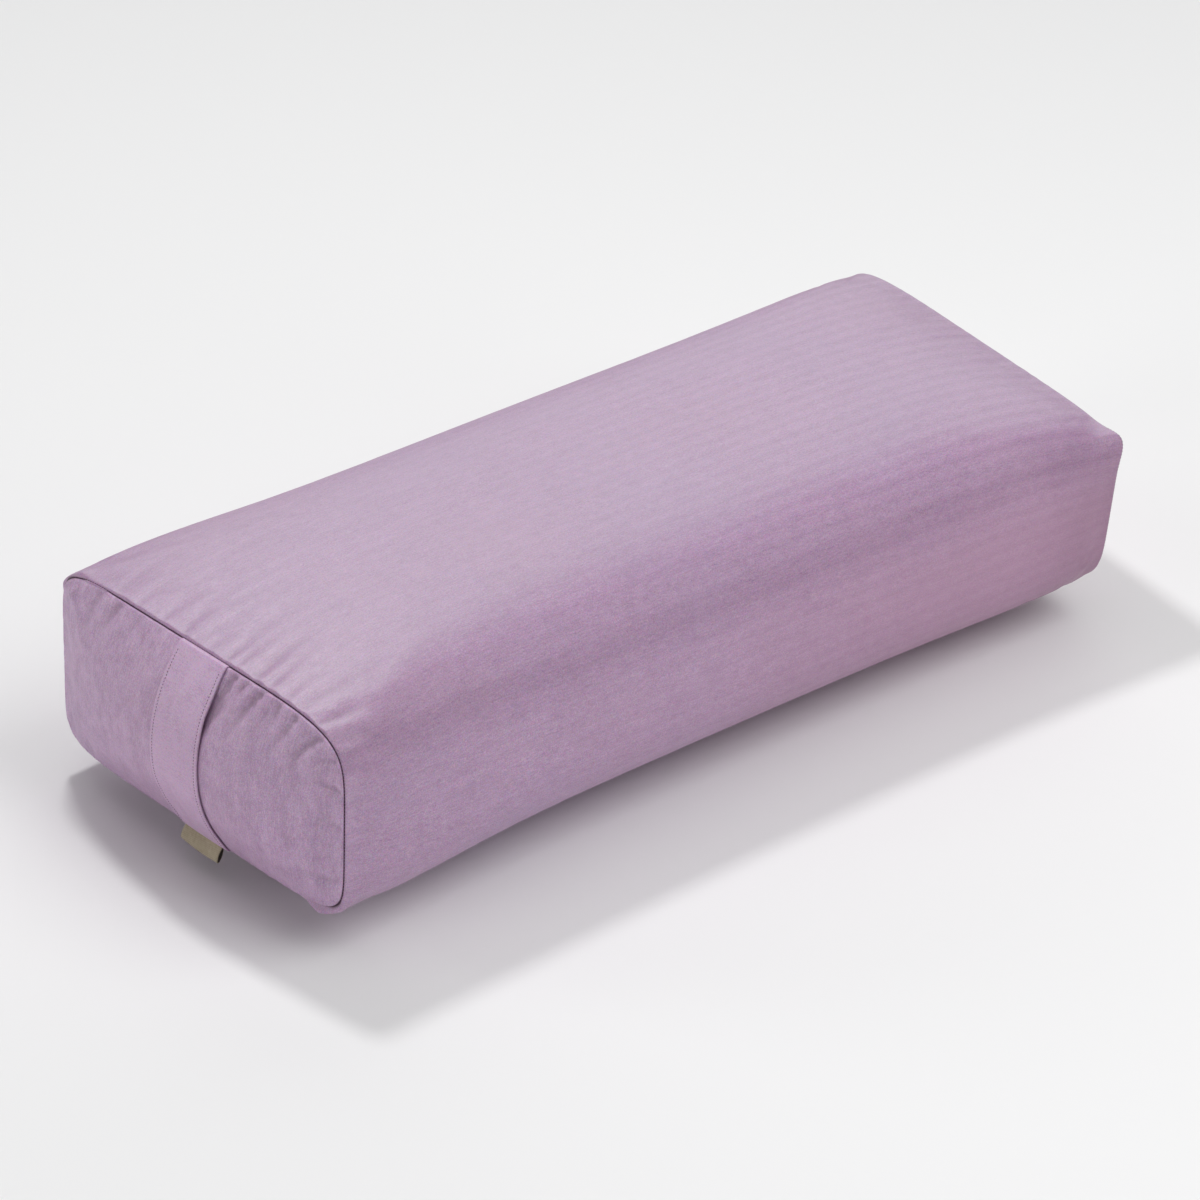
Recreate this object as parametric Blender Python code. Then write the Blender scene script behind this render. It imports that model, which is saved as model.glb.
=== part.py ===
"""Rectangular yoga bolster: a stuffed cushion in a removable cotton cover, lying on its broad side.

Frame: +Z up, the origin under the middle of the cushion on the floor, the long axis along X.
The end with the carry handle and the side label is at -X, and the zip runs along the +Y side.
Every length is in metres.
"""

import math

import bmesh
import bpy

# Outer form of the stuffed cover
SEAM_SPAN = 0.610
MID_WIDTH = 0.254
MID_HEIGHT = 0.160
END_WIDTH = 0.248
END_SEAM_DROP = 0.021
END_SEAM_LOW = 0.022
END_CROWN = 0.024
FLOOR_CUT = 0.0005

# How square the section is: 2 is an ellipse and a high number is a box
MID_TOP_SQUARENESS = 3.0
MID_LOW_SQUARENESS = 2.8
END_TOP_SQUARENESS = 5.2
END_LOW_SQUARENESS = 6.4
TAPER_POWER = 5.0
LIFT_POWER = 6.0
CROWN_POWER = 2.2
CROWN_SQUARENESS = 2.0
CORNER_FADE_POWER = 3.0

# Cloth, seams and the play between neighbouring layers
FIT = 0.0003
COVER_WALL = 0.0009
COVER_SEAM_TURN_IN = 0.010
BAG_WALL = 0.0005
BAG_SEAM_TURN_IN = 0.008
BAG_END_IN = 0.0022
WADDING_END_IN = 0.0018

# Carry handle: a folded strip across the end, its two ends caught in the end seam
HANDLE_WIDTH = 0.041
HANDLE_THICKNESS = 0.0016
HANDLE_CENTRE_Y = -0.006
HANDLE_SEWN_LENGTH = 0.018
HANDLE_SEAM_MARGIN = 0.0012

# Side label: a folded loop of woven tape hanging from the lower end seam
LABEL_WIDTH = 0.032
LABEL_CENTRE_Y = -0.008
LABEL_DROP = 0.0105
LABEL_TAPE = 0.0003
LABEL_NIP = 0.0009
LABEL_BULGE = 0.0030
LABEL_LEAN = math.radians(24)

# Zip along the rear side
ZIP_HEIGHT = 0.076
ZIP_END_ROOM = 0.065
TAPE_WIDTH = 0.012
TAPE_THICKNESS = 0.0006
TAPE_TAIL = 0.012
CHAIN_SLIT = 0.0016
COIL_WIDTH = 0.0021
COIL_THICKNESS = 0.0014
SLOT_HEIGHT = 0.0115
SLOT_END_ROOM = 0.006
STOP_LENGTH = 0.003
STOP_RISE = 0.0003

# Zip slider and its pull
SLIDER_LENGTH = 0.0095
SLIDER_PLATE = 0.0009
SLIDER_FLANGE = 0.0009
SLIDER_NECK = 0.0010
SLIDER_BACK_WIDTH = 0.0074
SLIDER_BACK_PLATE = 0.0008
BRIDGE_LENGTH = 0.0048
BRIDGE_WIDTH = 0.0016
BRIDGE_THICKNESS = 0.0008
BRIDGE_OPENING = 0.0015
PULL_LENGTH = 0.021
PULL_WIDTH = 0.0060
PULL_THICKNESS = 0.0009
PULL_WINDOW_LENGTH = 0.0032
PULL_SIDE_PLAY = 0.0005

# Filling: a firm foam block wrapped in wadding
FOAM_END_ROOM = 0.055
FOAM_WIDTH = 0.190
FOAM_HEIGHT = 0.088
FOAM_EDGE_RADIUS = 0.012

# Facets of the soft forms, the strips and the round edges
ROUND = 40
HALF_STATIONS = 6
FACE_RINGS = (0.94, 0.83, 0.67, 0.46, 0.23)
HANDLE_COLUMNS = 4
HANDLE_END_ROWS = 4
HANDLE_GRIP_ROWS = 12
LABEL_STEPS = 8
ARC_STEPS = 8
FOAM_EDGE_STEPS = 3
SHARP_FROM = math.radians(40)

SEAM_X = SEAM_SPAN / 2
END_SEAM_HIGH = MID_HEIGHT - END_SEAM_DROP
CHAIN_LENGTH = SEAM_SPAN - 2 * ZIP_END_ROOM
FOAM_LENGTH = SEAM_SPAN - 2 * FOAM_END_ROOM


def clear_scene():
    for thing in list(bpy.data.objects):
        bpy.data.objects.remove(thing, do_unlink=True)


def linear(red, green, blue):
    """Turn a 0 to 255 screen colour into the shader's linear values."""
    values = []
    for channel in (red, green, blue):
        share = channel / 255
        values.append(share / 12.92 if share <= 0.04045 else ((share + 0.055) / 1.055) ** 2.4)
    return (*values, 1.0)


def material(name, colour, roughness, metallic=0.0):
    made = bpy.data.materials.new(name)
    made.use_nodes = True
    shader = made.node_tree.nodes["Principled BSDF"]
    shader.inputs["Base Color"].default_value = colour
    shader.inputs["Roughness"].default_value = roughness
    shader.inputs["Metallic"].default_value = metallic
    return made


LAVENDER = linear(184, 166, 188)
UNDYED = linear(226, 222, 212)
FLAX = linear(168, 156, 128)
TAPE_MAUVE = linear(150, 132, 156)
COIL_MAUVE = linear(138, 120, 146)
NICKEL = linear(186, 184, 180)
WADDING_WHITE = linear(238, 236, 230)
FOAM_CREAM = linear(226, 214, 178)
METAL_LOOK = (NICKEL, 0.32, 1.0)


def add_mesh(name, points, faces, look):
    """Make one object from points and faces, shaded smooth and carrying its own material."""
    mesh = bpy.data.meshes.new(name)
    mesh.from_pydata(points, [], faces)
    mesh.shade_smooth()
    mesh.set_sharp_from_angle(angle=SHARP_FROM)
    made = bpy.data.objects.new(name, mesh)
    bpy.context.scene.collection.objects.link(made)
    mesh.materials.append(material(name, *look))
    return made


def close_outward(mesh):
    """Turn every face of a closed mesh so that it points out."""
    work = bmesh.new()
    work.from_mesh(mesh)
    bmesh.ops.recalc_face_normals(work, faces=work.faces)
    work.to_mesh(mesh)
    work.free()


def add_box(name, low, high, look, edge_radius=0.0):
    """A box from its two far corners, with its own centre as origin and optional rounded edges."""
    size = [b - a for a, b in zip(low, high)]
    middle = [(a + b) / 2 for a, b in zip(low, high)]
    work = bmesh.new()
    bmesh.ops.create_cube(work, size=1.0)
    bmesh.ops.scale(work, vec=size, verts=work.verts)
    if edge_radius:
        bmesh.ops.bevel(
            work,
            geom=work.edges[:],
            offset=edge_radius,
            segments=FOAM_EDGE_STEPS,
            affect="EDGES",
            profile=0.5,
        )
    mesh = bpy.data.meshes.new(name)
    work.to_mesh(mesh)
    work.free()
    made = bpy.data.objects.new(name, mesh)
    made.location = middle
    bpy.context.scene.collection.objects.link(made)
    mesh.materials.append(material(name, *look))
    return made


def as_guide(shape):
    """Mark a shape that only cuts or joins, so that it is no piece of the bolster."""
    shape.hide_render = True
    shape.display_type = "WIRE"
    return shape


def use_shape(target, tool, operation):
    step = target.modifiers.new(tool.name, "BOOLEAN")
    step.operation = operation
    step.solver = "EXACT"
    step.object = tool


def thicken(sheet, wall, outward=False):
    """Give a cloth sheet its wall; the sheet's own points stay on one side of it."""
    step = sheet.modifiers.new("wall", "SOLIDIFY")
    step.thickness = wall
    step.offset = 1.0 if outward else -1.0
    step.use_even_offset = True


def mix(start, end, share):
    return start + (end - start) * share


def signed_power(value, power):
    return math.copysign(abs(value) ** power, value)


def section_shape(x, side_in, top_in):
    """Half width, low and high edge and squareness of the cushion's section at x."""
    reach = min(abs(x) / SEAM_X, 1.0)
    taper = reach**TAPER_POWER
    lift = reach**LIFT_POWER
    half = mix(MID_WIDTH, END_WIDTH, taper) / 2 - side_in
    high = mix(MID_HEIGHT, END_SEAM_HIGH, taper) - top_in
    low = mix(-FLOOR_CUT, END_SEAM_LOW, lift) + top_in
    top_squareness = mix(MID_TOP_SQUARENESS, END_TOP_SQUARENESS, taper)
    low_squareness = mix(MID_LOW_SQUARENESS, END_LOW_SQUARENESS, taper)
    return half, low, high, top_squareness, low_squareness


def oval(half, low, high, top_squareness, low_squareness):
    """ROUND pairs of y and z on a rounded oblong, starting at +Y and turning towards +Z."""
    pairs = []
    for step in range(ROUND):
        turn = 2 * math.pi * step / ROUND
        across = math.cos(turn)
        upward = math.sin(turn)
        power = 2 / (top_squareness if upward >= 0 else low_squareness)
        y = half * signed_power(across, power)
        z = (high + low) / 2 + (high - low) / 2 * signed_power(upward, power)
        pairs.append((y, z))
    return pairs


def ring(x, side_in=0.0, top_in=0.0):
    """One closed row of points round the cushion at x, drawn in from the outer skin."""
    return [(x, y, max(z, top_in)) for y, z in oval(*section_shape(x, side_in, top_in))]


def stations(end_x, turn_in):
    """Places along X, close together near the ends, one of them where the seam's turn-in stops."""
    inner = end_x - turn_in
    half = [inner * math.sin(math.pi / 2 * step / HALF_STATIONS) for step in range(HALF_STATIONS + 1)]
    half.append(end_x)
    return [-x for x in reversed(half[1:])] + half


def tube_faces(rows, start=0):
    """Faces between following rows of ROUND points, pointing away from the tube's axis."""
    faces = []
    for row in range(rows - 1):
        here = start + row * ROUND
        there = here + ROUND
        for step in range(ROUND):
            following = (step + 1) % ROUND
            faces.append((here + step, here + following, there + following, there + step))
    return faces


def add_wrap_panel(name, end_x, turn_in, side_in, top_in, wall, look):
    """The panel that goes round top, sides and underside, open at both ends."""
    rows = [ring(x, side_in, top_in) for x in stations(end_x, turn_in)]
    panel = add_mesh(name, [point for row in rows for point in row], tube_faces(len(rows)), look)
    thicken(panel, wall)
    return panel


def face_bulge(radius):
    """How far an end panel stands out at a share of the way from its middle to its seam."""
    return END_CROWN * (1 - min(radius, 1.0) ** CROWN_POWER)


def face_squareness(radius, squareness):
    """The crowned face's outline grows rounder from the seam towards its middle."""
    return mix(CROWN_SQUARENESS, squareness, radius**CORNER_FADE_POWER)


def dome_rows(side, end_x, side_in, top_in):
    """Rows of an end panel's crowned face, from its seam to near its middle, and the middle."""
    half, low, high, top_squareness, low_squareness = section_shape(end_x, side_in, top_in)
    middle = (low + high) / 2
    rise = (high - low) / 2
    rows = []
    for radius in (1.0, *FACE_RINGS):
        x = side * (end_x + face_bulge(radius))
        pairs = oval(
            half * radius,
            middle - rise * radius,
            middle + rise * radius,
            face_squareness(radius, top_squareness),
            face_squareness(radius, low_squareness),
        )
        rows.append([(x, y, z) for y, z in pairs])
    return rows, (side * (end_x + END_CROWN), 0.0, middle)


def add_end_panel(name, side, end_x, turn_in, side_in, top_in, wall, look):
    """A crowned end panel whose edge turns in along the inside of the wrap panel."""
    turned = [(side * (end_x - turn_in), y, z) for _, y, z in ring(end_x - turn_in, side_in, top_in)]
    rows, tip = dome_rows(side, end_x, side_in, top_in)
    rows.insert(0, turned)
    points = [point for row in rows for point in row] + [tip]
    faces = tube_faces(len(rows))
    last = (len(rows) - 1) * ROUND
    for step in range(ROUND):
        faces.append((last + step, last + (step + 1) % ROUND, len(points) - 1))
    if side < 0:
        faces = [tuple(reversed(face)) for face in faces]
    panel = add_mesh(name, points, faces, look)
    thicken(panel, wall)
    return panel


def add_cushion_solid(name, end_x, side_in, top_in, look):
    """A closed crowned cushion that fills the room inside a bag."""
    rows = [ring(x, side_in, top_in) for x in stations(end_x, BAG_SEAM_TURN_IN)]
    near_rows, near_tip = dome_rows(-1, end_x, side_in, top_in)
    far_rows, far_tip = dome_rows(1, end_x, side_in, top_in)
    rows = list(reversed(near_rows[1:])) + rows + far_rows[1:]
    points = [point for row in rows for point in row] + [near_tip, far_tip]
    faces = tube_faces(len(rows))
    last = (len(rows) - 1) * ROUND
    for step in range(ROUND):
        following = (step + 1) % ROUND
        faces.append((following, step, len(points) - 2))
        faces.append((last + step, last + following, len(points) - 1))
    return add_mesh(name, points, faces, look)


# Layers, each drawn in from the outer skin by the walls and the play outside it
END_PANEL_IN = COVER_WALL + FIT
BAG_TOP_IN = 2 * (COVER_WALL + FIT)
LAYERED_BAG = 2 * (BAG_WALL + FIT)


def wall_y_at(row, z):
    """The rear wall's y on one faceted row, at height z."""
    for step in range(-ROUND // 4, ROUND // 4):
        low_point = row[step % ROUND]
        high_point = row[(step + 1) % ROUND]
        if low_point[2] <= z <= high_point[2] and high_point[2] > low_point[2]:
            share = (z - low_point[2]) / (high_point[2] - low_point[2])
            return mix(low_point[1], high_point[1], share)
    return row[0][1]


def zip_places():
    """Places along X where the cushion's section matters to the zip, up to the tapes' ends."""
    reach = CHAIN_LENGTH / 2 + TAPE_TAIL
    return [x for x in stations(SEAM_X, COVER_SEAM_TURN_IN) if abs(x) < reach] + [reach]


def zip_face_y():
    """The y where the zip tapes' outer face lies, just inside the rear wall all along the zip."""
    edge = CHAIN_SLIT / 2 + TAPE_WIDTH
    walls = []
    for x in zip_places():
        row = ring(x)
        walls.append(min(wall_y_at(row, ZIP_HEIGHT - edge), wall_y_at(row, ZIP_HEIGHT + edge)))
    return min(walls) - COVER_WALL - FIT


TAPE_FACE_Y = zip_face_y()
TAPE_BACK_Y = TAPE_FACE_Y - TAPE_THICKNESS
COIL_LOW_Y = TAPE_FACE_Y + FIT
COIL_HIGH_Y = COIL_LOW_Y + COIL_THICKNESS
BACK_PLATE_HIGH_Y = TAPE_BACK_Y - FIT
BACK_PLATE_LOW_Y = BACK_PLATE_HIGH_Y - SLIDER_BACK_PLATE
WIDEST_AT_ZIP = max(section_shape(x, 0.0, 0.0)[0] for x in zip_places())
BAG_SIDE_IN = WIDEST_AT_ZIP - (BACK_PLATE_LOW_Y - FIT)
CHAIN_X = CHAIN_LENGTH / 2


def build_cover():
    cloth = (LAVENDER, 0.9)
    wrap = add_wrap_panel("cover_wrap_panel", SEAM_X, COVER_SEAM_TURN_IN, 0.0, 0.0, COVER_WALL, cloth)
    slot = as_guide(
        add_box(
            "zip_slot",
            (-CHAIN_X - SLOT_END_ROOM, MID_WIDTH / 4, ZIP_HEIGHT - SLOT_HEIGHT / 2),
            (CHAIN_X + SLOT_END_ROOM, MID_WIDTH, ZIP_HEIGHT + SLOT_HEIGHT / 2),
            cloth,
        )
    )
    use_shape(wrap, slot, "DIFFERENCE")
    for name, side in (("cover_end_panel_handle_side", -1), ("cover_end_panel_plain_side", 1)):
        add_end_panel(
            name, side, SEAM_X, COVER_SEAM_TURN_IN, END_PANEL_IN, END_PANEL_IN, COVER_WALL, cloth
        )


def end_face_x(y, z):
    """How far out the crowned end panel lies at y and z, as a positive distance along X."""
    half, low, high, top_squareness, low_squareness = section_shape(SEAM_X, END_PANEL_IN, END_PANEL_IN)
    middle = (low + high) / 2
    across = abs(y / half)
    upward = abs((z - middle) / ((high - low) / 2))
    squareness = top_squareness if z >= middle else low_squareness
    inner, outer = 0.0, 1.0
    for _ in range(30):
        radius = (inner + outer) / 2
        power = face_squareness(radius, squareness)
        if across**power + upward**power > radius**power:
            inner = radius
        else:
            outer = radius
    return SEAM_X + face_bulge(outer)


def add_handle_piece(name, low_z, high_z, rows, look):
    """A stretch of the handle strip between two heights, lying over the crowned end panel."""
    points = []
    for row in range(rows + 1):
        z = mix(low_z, high_z, row / rows)
        for column in range(HANDLE_COLUMNS + 1):
            y = HANDLE_CENTRE_Y + HANDLE_WIDTH * (column / HANDLE_COLUMNS - 0.5)
            slope = (end_face_x(y, z + FIT) - end_face_x(y, z - FIT)) / (2 * FIT)
            lift = FIT * math.hypot(1, slope)
            points.append((-end_face_x(y, z) - lift, y, z))
    faces = []
    for row in range(rows):
        for column in range(HANDLE_COLUMNS):
            corner = row * (HANDLE_COLUMNS + 1) + column
            above = corner + HANDLE_COLUMNS + 1
            faces.append((corner, above, above + 1, corner + 1))
    strip = add_mesh(name, points, faces, look)
    thicken(strip, HANDLE_THICKNESS, outward=True)
    return strip


def build_handle():
    cloth = (LAVENDER, 0.88)
    low = END_SEAM_LOW + END_PANEL_IN + HANDLE_SEAM_MARGIN
    high = END_SEAM_HIGH - END_PANEL_IN - HANDLE_SEAM_MARGIN
    low_joint = low + HANDLE_SEWN_LENGTH
    high_joint = high - HANDLE_SEWN_LENGTH
    add_handle_piece("handle_lower_end", low, low_joint - FIT / 2, HANDLE_END_ROWS, cloth)
    add_handle_piece("handle_grip", low_joint + FIT / 2, high_joint - FIT / 2, HANDLE_GRIP_ROWS, cloth)
    add_handle_piece("handle_upper_end", high_joint + FIT / 2, high, HANDLE_END_ROWS, cloth)


def build_label():
    """The loop: two layers of tape, nipped together at the seam and folded over below."""
    outer = []
    inner = []
    down = [step / LABEL_STEPS for step in range(LABEL_STEPS + 1)]
    for side, shares in ((1, down), (-1, down[::-1])):
        for share in shares:
            half = (LABEL_NIP + (LABEL_BULGE - LABEL_NIP) * math.sin(math.pi * share)) / 2
            outer.append((side * half, -LABEL_DROP * share))
            inner_depth = LABEL_TAPE + (LABEL_DROP - 2 * LABEL_TAPE) * share
            inner.append((side * (half - LABEL_TAPE), -inner_depth))
    count = len(outer)
    row = 2 * count
    points = []
    for y in (-LABEL_WIDTH / 2, LABEL_WIDTH / 2):
        for out, drop in outer + inner:
            leaned_x = out * math.cos(LABEL_LEAN) + drop * math.sin(LABEL_LEAN)
            leaned_z = -out * math.sin(LABEL_LEAN) + drop * math.cos(LABEL_LEAN)
            points.append((leaned_x, y, leaned_z))
    faces = []
    for step in range(count):
        following = (step + 1) % count
        faces.append((step, following, following + row, step + row))
        faces.append((count + following, count + step, count + step + row, count + following + row))
        faces.append((following, step, count + step, count + following))
        faces.append((row + step, row + following, row + count + following, row + count + step))
    label = add_mesh("side_label", points, faces, (FLAX, 0.8))
    close_outward(label.data)
    label.location = (-SEAM_X - FIT - LABEL_NIP / 2, LABEL_CENTRE_Y, END_SEAM_LOW + COVER_WALL)


def add_zip_box(name, up, x_reach, y_reach, near, far, look):
    """A straight zip piece above (up 1) or below (up -1) the zip's middle line."""
    z_low, z_high = sorted((ZIP_HEIGHT + up * near, ZIP_HEIGHT + up * far))
    add_box(name, (x_reach[0], y_reach[0], z_low), (x_reach[1], y_reach[1], z_high), look)


def build_zip():
    tape_look = (TAPE_MAUVE, 0.85)
    coil_look = (COIL_MAUVE, 0.45)
    inner = CHAIN_SLIT / 2
    coil_outer = inner + COIL_WIDTH
    tape_outer = inner + TAPE_WIDTH
    tape_x = (-CHAIN_X - TAPE_TAIL, CHAIN_X + TAPE_TAIL)
    tape_y = (TAPE_BACK_Y, TAPE_FACE_Y)
    coil_x = (-CHAIN_X, CHAIN_X)
    coil_y = (COIL_LOW_Y, COIL_HIGH_Y)
    top_stop_x = (CHAIN_X + FIT, CHAIN_X + FIT + STOP_LENGTH)
    bottom_stop_x = (-CHAIN_X - FIT - STOP_LENGTH, -CHAIN_X - FIT)
    stop_y = (COIL_LOW_Y, COIL_HIGH_Y + STOP_RISE)
    for place, up in (("upper", 1), ("lower", -1)):
        add_zip_box(f"zip_tape_{place}", up, tape_x, tape_y, inner, tape_outer, tape_look)
        add_zip_box(f"zip_coil_{place}", up, coil_x, coil_y, inner, coil_outer, coil_look)
        add_zip_box(f"zip_top_stop_{place}", up, top_stop_x, stop_y, inner, coil_outer, METAL_LOOK)
    add_zip_box("zip_bottom_stop", 1, bottom_stop_x, stop_y, -coil_outer, coil_outer, METAL_LOOK)


# Levels of the slider, outward along Y, and where it stands with the zip closed
PLATE_LOW_Y = COIL_HIGH_Y + FIT
PLATE_HIGH_Y = PLATE_LOW_Y + SLIDER_PLATE
PULL_PIVOT_Y = PLATE_HIGH_Y + BRIDGE_OPENING / 2
SLIDER_X = CHAIN_X - FIT - SLIDER_LENGTH / 2


def add_prism(name, outline, axis, length, look):
    """Push a closed outline along one axis, centred on its own origin."""
    points = []
    for offset in (-length / 2, length / 2):
        for first, second in outline:
            spot = [first, second]
            spot.insert(axis, offset)
            points.append(tuple(spot))
    count = len(outline)
    faces = [tuple(range(count)), tuple(range(2 * count - 1, count - 1, -1))]
    for step in range(count):
        following = (step + 1) % count
        faces.append((step, following, following + count, step + count))
    made = add_mesh(name, points, faces, look)
    close_outward(made.data)
    return made


def build_slider():
    """Outer plate with side flanges, a neck between the chain's halves, a back plate and a bridge."""
    flange_in = CHAIN_SLIT / 2 + COIL_WIDTH + FIT
    flange_out = flange_in + SLIDER_FLANGE
    plate_low = PLATE_LOW_Y - PLATE_HIGH_Y
    flange_low = TAPE_FACE_Y + FIT - PLATE_HIGH_Y
    back_high = BACK_PLATE_HIGH_Y - PLATE_HIGH_Y
    back_low = BACK_PLATE_LOW_Y - PLATE_HIGH_Y
    half = [
        (back_low, SLIDER_BACK_WIDTH / 2),
        (back_high, SLIDER_BACK_WIDTH / 2),
        (back_high, SLIDER_NECK / 2),
        (plate_low, SLIDER_NECK / 2),
        (plate_low, flange_in),
        (flange_low, flange_in),
        (flange_low, flange_out),
        (0.0, flange_out),
    ]
    outline = half + [(y, -z) for y, z in reversed(half)]
    slider = add_prism("zip_slider", outline, 0, SLIDER_LENGTH, METAL_LOOK)
    slider.location = (SLIDER_X, PLATE_HIGH_Y, ZIP_HEIGHT)
    sunk = SLIDER_PLATE / 3
    foot = BRIDGE_LENGTH / 2
    inside = foot - BRIDGE_THICKNESS
    top = BRIDGE_OPENING + BRIDGE_THICKNESS
    arch = [
        (-foot, -sunk),
        (-foot, top),
        (foot, top),
        (foot, -sunk),
        (inside, -sunk),
        (inside, BRIDGE_OPENING),
        (-inside, BRIDGE_OPENING),
        (-inside, -sunk),
    ]
    bridge = as_guide(add_prism("zip_bridge", arch, 2, BRIDGE_WIDTH, METAL_LOOK))
    bridge.location = slider.location
    use_shape(slider, bridge, "UNION")


def build_pull():
    """The pull, its origin on the bar under the bridge, lying back along the chain."""
    half = PULL_WIDTH / 2
    bar = PULL_THICKNESS / 2
    centre_x = -PULL_LENGTH + half
    outline = [(bar, -half), (bar, half)]
    for step in range(ARC_STEPS + 1):
        turn = math.pi / 2 + math.pi * step / ARC_STEPS
        outline.append((centre_x + half * math.cos(turn), half * math.sin(turn)))
    pull = add_prism("zip_pull", outline, 1, PULL_THICKNESS, METAL_LOOK)
    pull.location = (SLIDER_X, PULL_PIVOT_Y, ZIP_HEIGHT)
    window_half = BRIDGE_WIDTH / 2 + PULL_SIDE_PLAY
    window = as_guide(
        add_box(
            "pull_window",
            (SLIDER_X - bar - PULL_WINDOW_LENGTH, PULL_PIVOT_Y - PULL_THICKNESS, ZIP_HEIGHT - window_half),
            (SLIDER_X - bar, PULL_PIVOT_Y + PULL_THICKNESS, ZIP_HEIGHT + window_half),
            METAL_LOOK,
        )
    )
    use_shape(pull, window, "DIFFERENCE")


def build_inner_bag():
    cloth = (UNDYED, 0.9)
    end_x = SEAM_X - BAG_END_IN
    add_wrap_panel(
        "inner_bag_wrap_panel", end_x, BAG_SEAM_TURN_IN, BAG_SIDE_IN, BAG_TOP_IN, BAG_WALL, cloth
    )
    edge = BAG_WALL + FIT
    for name, side in (("inner_bag_end_panel_handle_side", -1), ("inner_bag_end_panel_plain_side", 1)):
        add_end_panel(
            name,
            side,
            end_x,
            BAG_SEAM_TURN_IN,
            BAG_SIDE_IN + edge,
            BAG_TOP_IN + edge,
            BAG_WALL,
            cloth,
        )


def build_filling():
    """A foam block, the wadding wound round it and a wadding pad over each of its ends."""
    soft = (WADDING_WHITE, 0.95)
    end_x = SEAM_X - BAG_END_IN - WADDING_END_IN
    side_in = BAG_SIDE_IN + LAYERED_BAG
    top_in = BAG_TOP_IN + LAYERED_BAG
    middle_z = MID_HEIGHT / 2
    half_x = FOAM_LENGTH / 2
    half_y = FOAM_WIDTH / 2
    half_z = FOAM_HEIGHT / 2
    add_box(
        "foam_block",
        (-half_x, -half_y, middle_z - half_z),
        (half_x, half_y, middle_z + half_z),
        (FOAM_CREAM, 0.85),
        edge_radius=FOAM_EDGE_RADIUS,
    )
    wrap = add_cushion_solid("wadding_wrap", end_x, side_in, top_in, soft)
    length_guide = as_guide(
        add_box(
            "wadding_length",
            (-half_x, -MID_WIDTH, -MID_HEIGHT),
            (half_x, MID_WIDTH, 2 * MID_HEIGHT),
            soft,
        )
    )
    hollow = as_guide(
        add_box(
            "foam_hollow",
            (-half_x - END_CROWN, -half_y - FIT, middle_z - half_z - FIT),
            (half_x + END_CROWN, half_y + FIT, middle_z + half_z + FIT),
            soft,
            edge_radius=FOAM_EDGE_RADIUS,
        )
    )
    use_shape(wrap, length_guide, "INTERSECT")
    use_shape(wrap, hollow, "DIFFERENCE")
    for name, side in (("wadding_pad_handle_side", -1), ("wadding_pad_plain_side", 1)):
        pad = add_cushion_solid(name, end_x, side_in, top_in, soft)
        near = side * (half_x + FIT)
        far = side * SEAM_SPAN
        keep = as_guide(
            add_box(
                f"{name}_reach",
                (min(near, far), -MID_WIDTH, -MID_HEIGHT),
                (max(near, far), MID_WIDTH, 2 * MID_HEIGHT),
                soft,
            )
        )
        use_shape(pad, keep, "INTERSECT")


clear_scene()
build_cover()
build_handle()
build_label()
build_zip()
build_slider()
build_pull()
build_inner_bag()
build_filling()
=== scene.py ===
# %% [markdown]
# # A rectangular yoga bolster
#
# A yoga bolster is a long, firm cushion to lie or sit on. This one has a zipped cotton cover with a
# herringbone weave: one long panel goes round top, sides and underside, and a crowned panel closes
# each end. A folded strip of the same cloth is stitched across one end as a carry handle, a flax label
# hangs from the seam below it, and the zip lies hidden along the rear side. Inside are a calico bag,
# wadding and a block of foam.
#
# The construction is already packed as a model with real sizes and joints. This script dresses it:
# it builds the cloth, the stitching, the zip's small parts and the finishes round that model.

import math
from types import SimpleNamespace

import bmesh
import bpy
import numpy as np
from mathutils import Matrix, Vector


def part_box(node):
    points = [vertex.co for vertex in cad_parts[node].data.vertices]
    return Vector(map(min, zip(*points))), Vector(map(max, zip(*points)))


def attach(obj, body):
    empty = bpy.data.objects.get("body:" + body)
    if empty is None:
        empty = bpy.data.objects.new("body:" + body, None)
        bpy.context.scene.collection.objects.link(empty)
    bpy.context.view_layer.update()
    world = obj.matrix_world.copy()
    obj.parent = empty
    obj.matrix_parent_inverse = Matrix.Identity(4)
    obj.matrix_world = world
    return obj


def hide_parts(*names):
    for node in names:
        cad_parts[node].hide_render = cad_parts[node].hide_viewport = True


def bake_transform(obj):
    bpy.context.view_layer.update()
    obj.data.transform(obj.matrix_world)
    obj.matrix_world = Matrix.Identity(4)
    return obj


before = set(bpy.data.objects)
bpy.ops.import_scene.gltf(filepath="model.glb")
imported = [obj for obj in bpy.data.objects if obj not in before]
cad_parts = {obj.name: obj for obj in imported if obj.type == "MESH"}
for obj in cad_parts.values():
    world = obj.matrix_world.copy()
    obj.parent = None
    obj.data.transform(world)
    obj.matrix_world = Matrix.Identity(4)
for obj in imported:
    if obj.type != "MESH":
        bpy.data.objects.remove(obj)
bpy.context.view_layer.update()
scene = bpy.context.scene

# %% [markdown]
# ## The camera
#
# The view is from above the near left corner through a long lens, so the bolster hardly shrinks
# towards its far end. The numbers were found by fitting the cushion's outline, its end seam and the
# handle's edges. A camera looks along its own -Z, so the three columns of its rotation are its right,
# its up and the direction back towards it.

# %% Camera
AZIMUTH, ELEVATION, ROLL = (math.radians(angle) for angle in (-43.80, 31.43, 4.06))
DISTANCE = 2.826
TARGET = Vector((-0.0145, -0.0078, 0.070))
FRAME_PIXELS = 1200
FOCAL_PIXELS = 4801
SENSOR = 36.0


def from_angles(azimuth, elevation):
    """The unit direction at an angle round Z from -Y and an angle above the floor."""
    level = math.cos(elevation)
    return Vector((math.sin(azimuth) * level, -math.cos(azimuth) * level, math.sin(elevation)))


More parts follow.
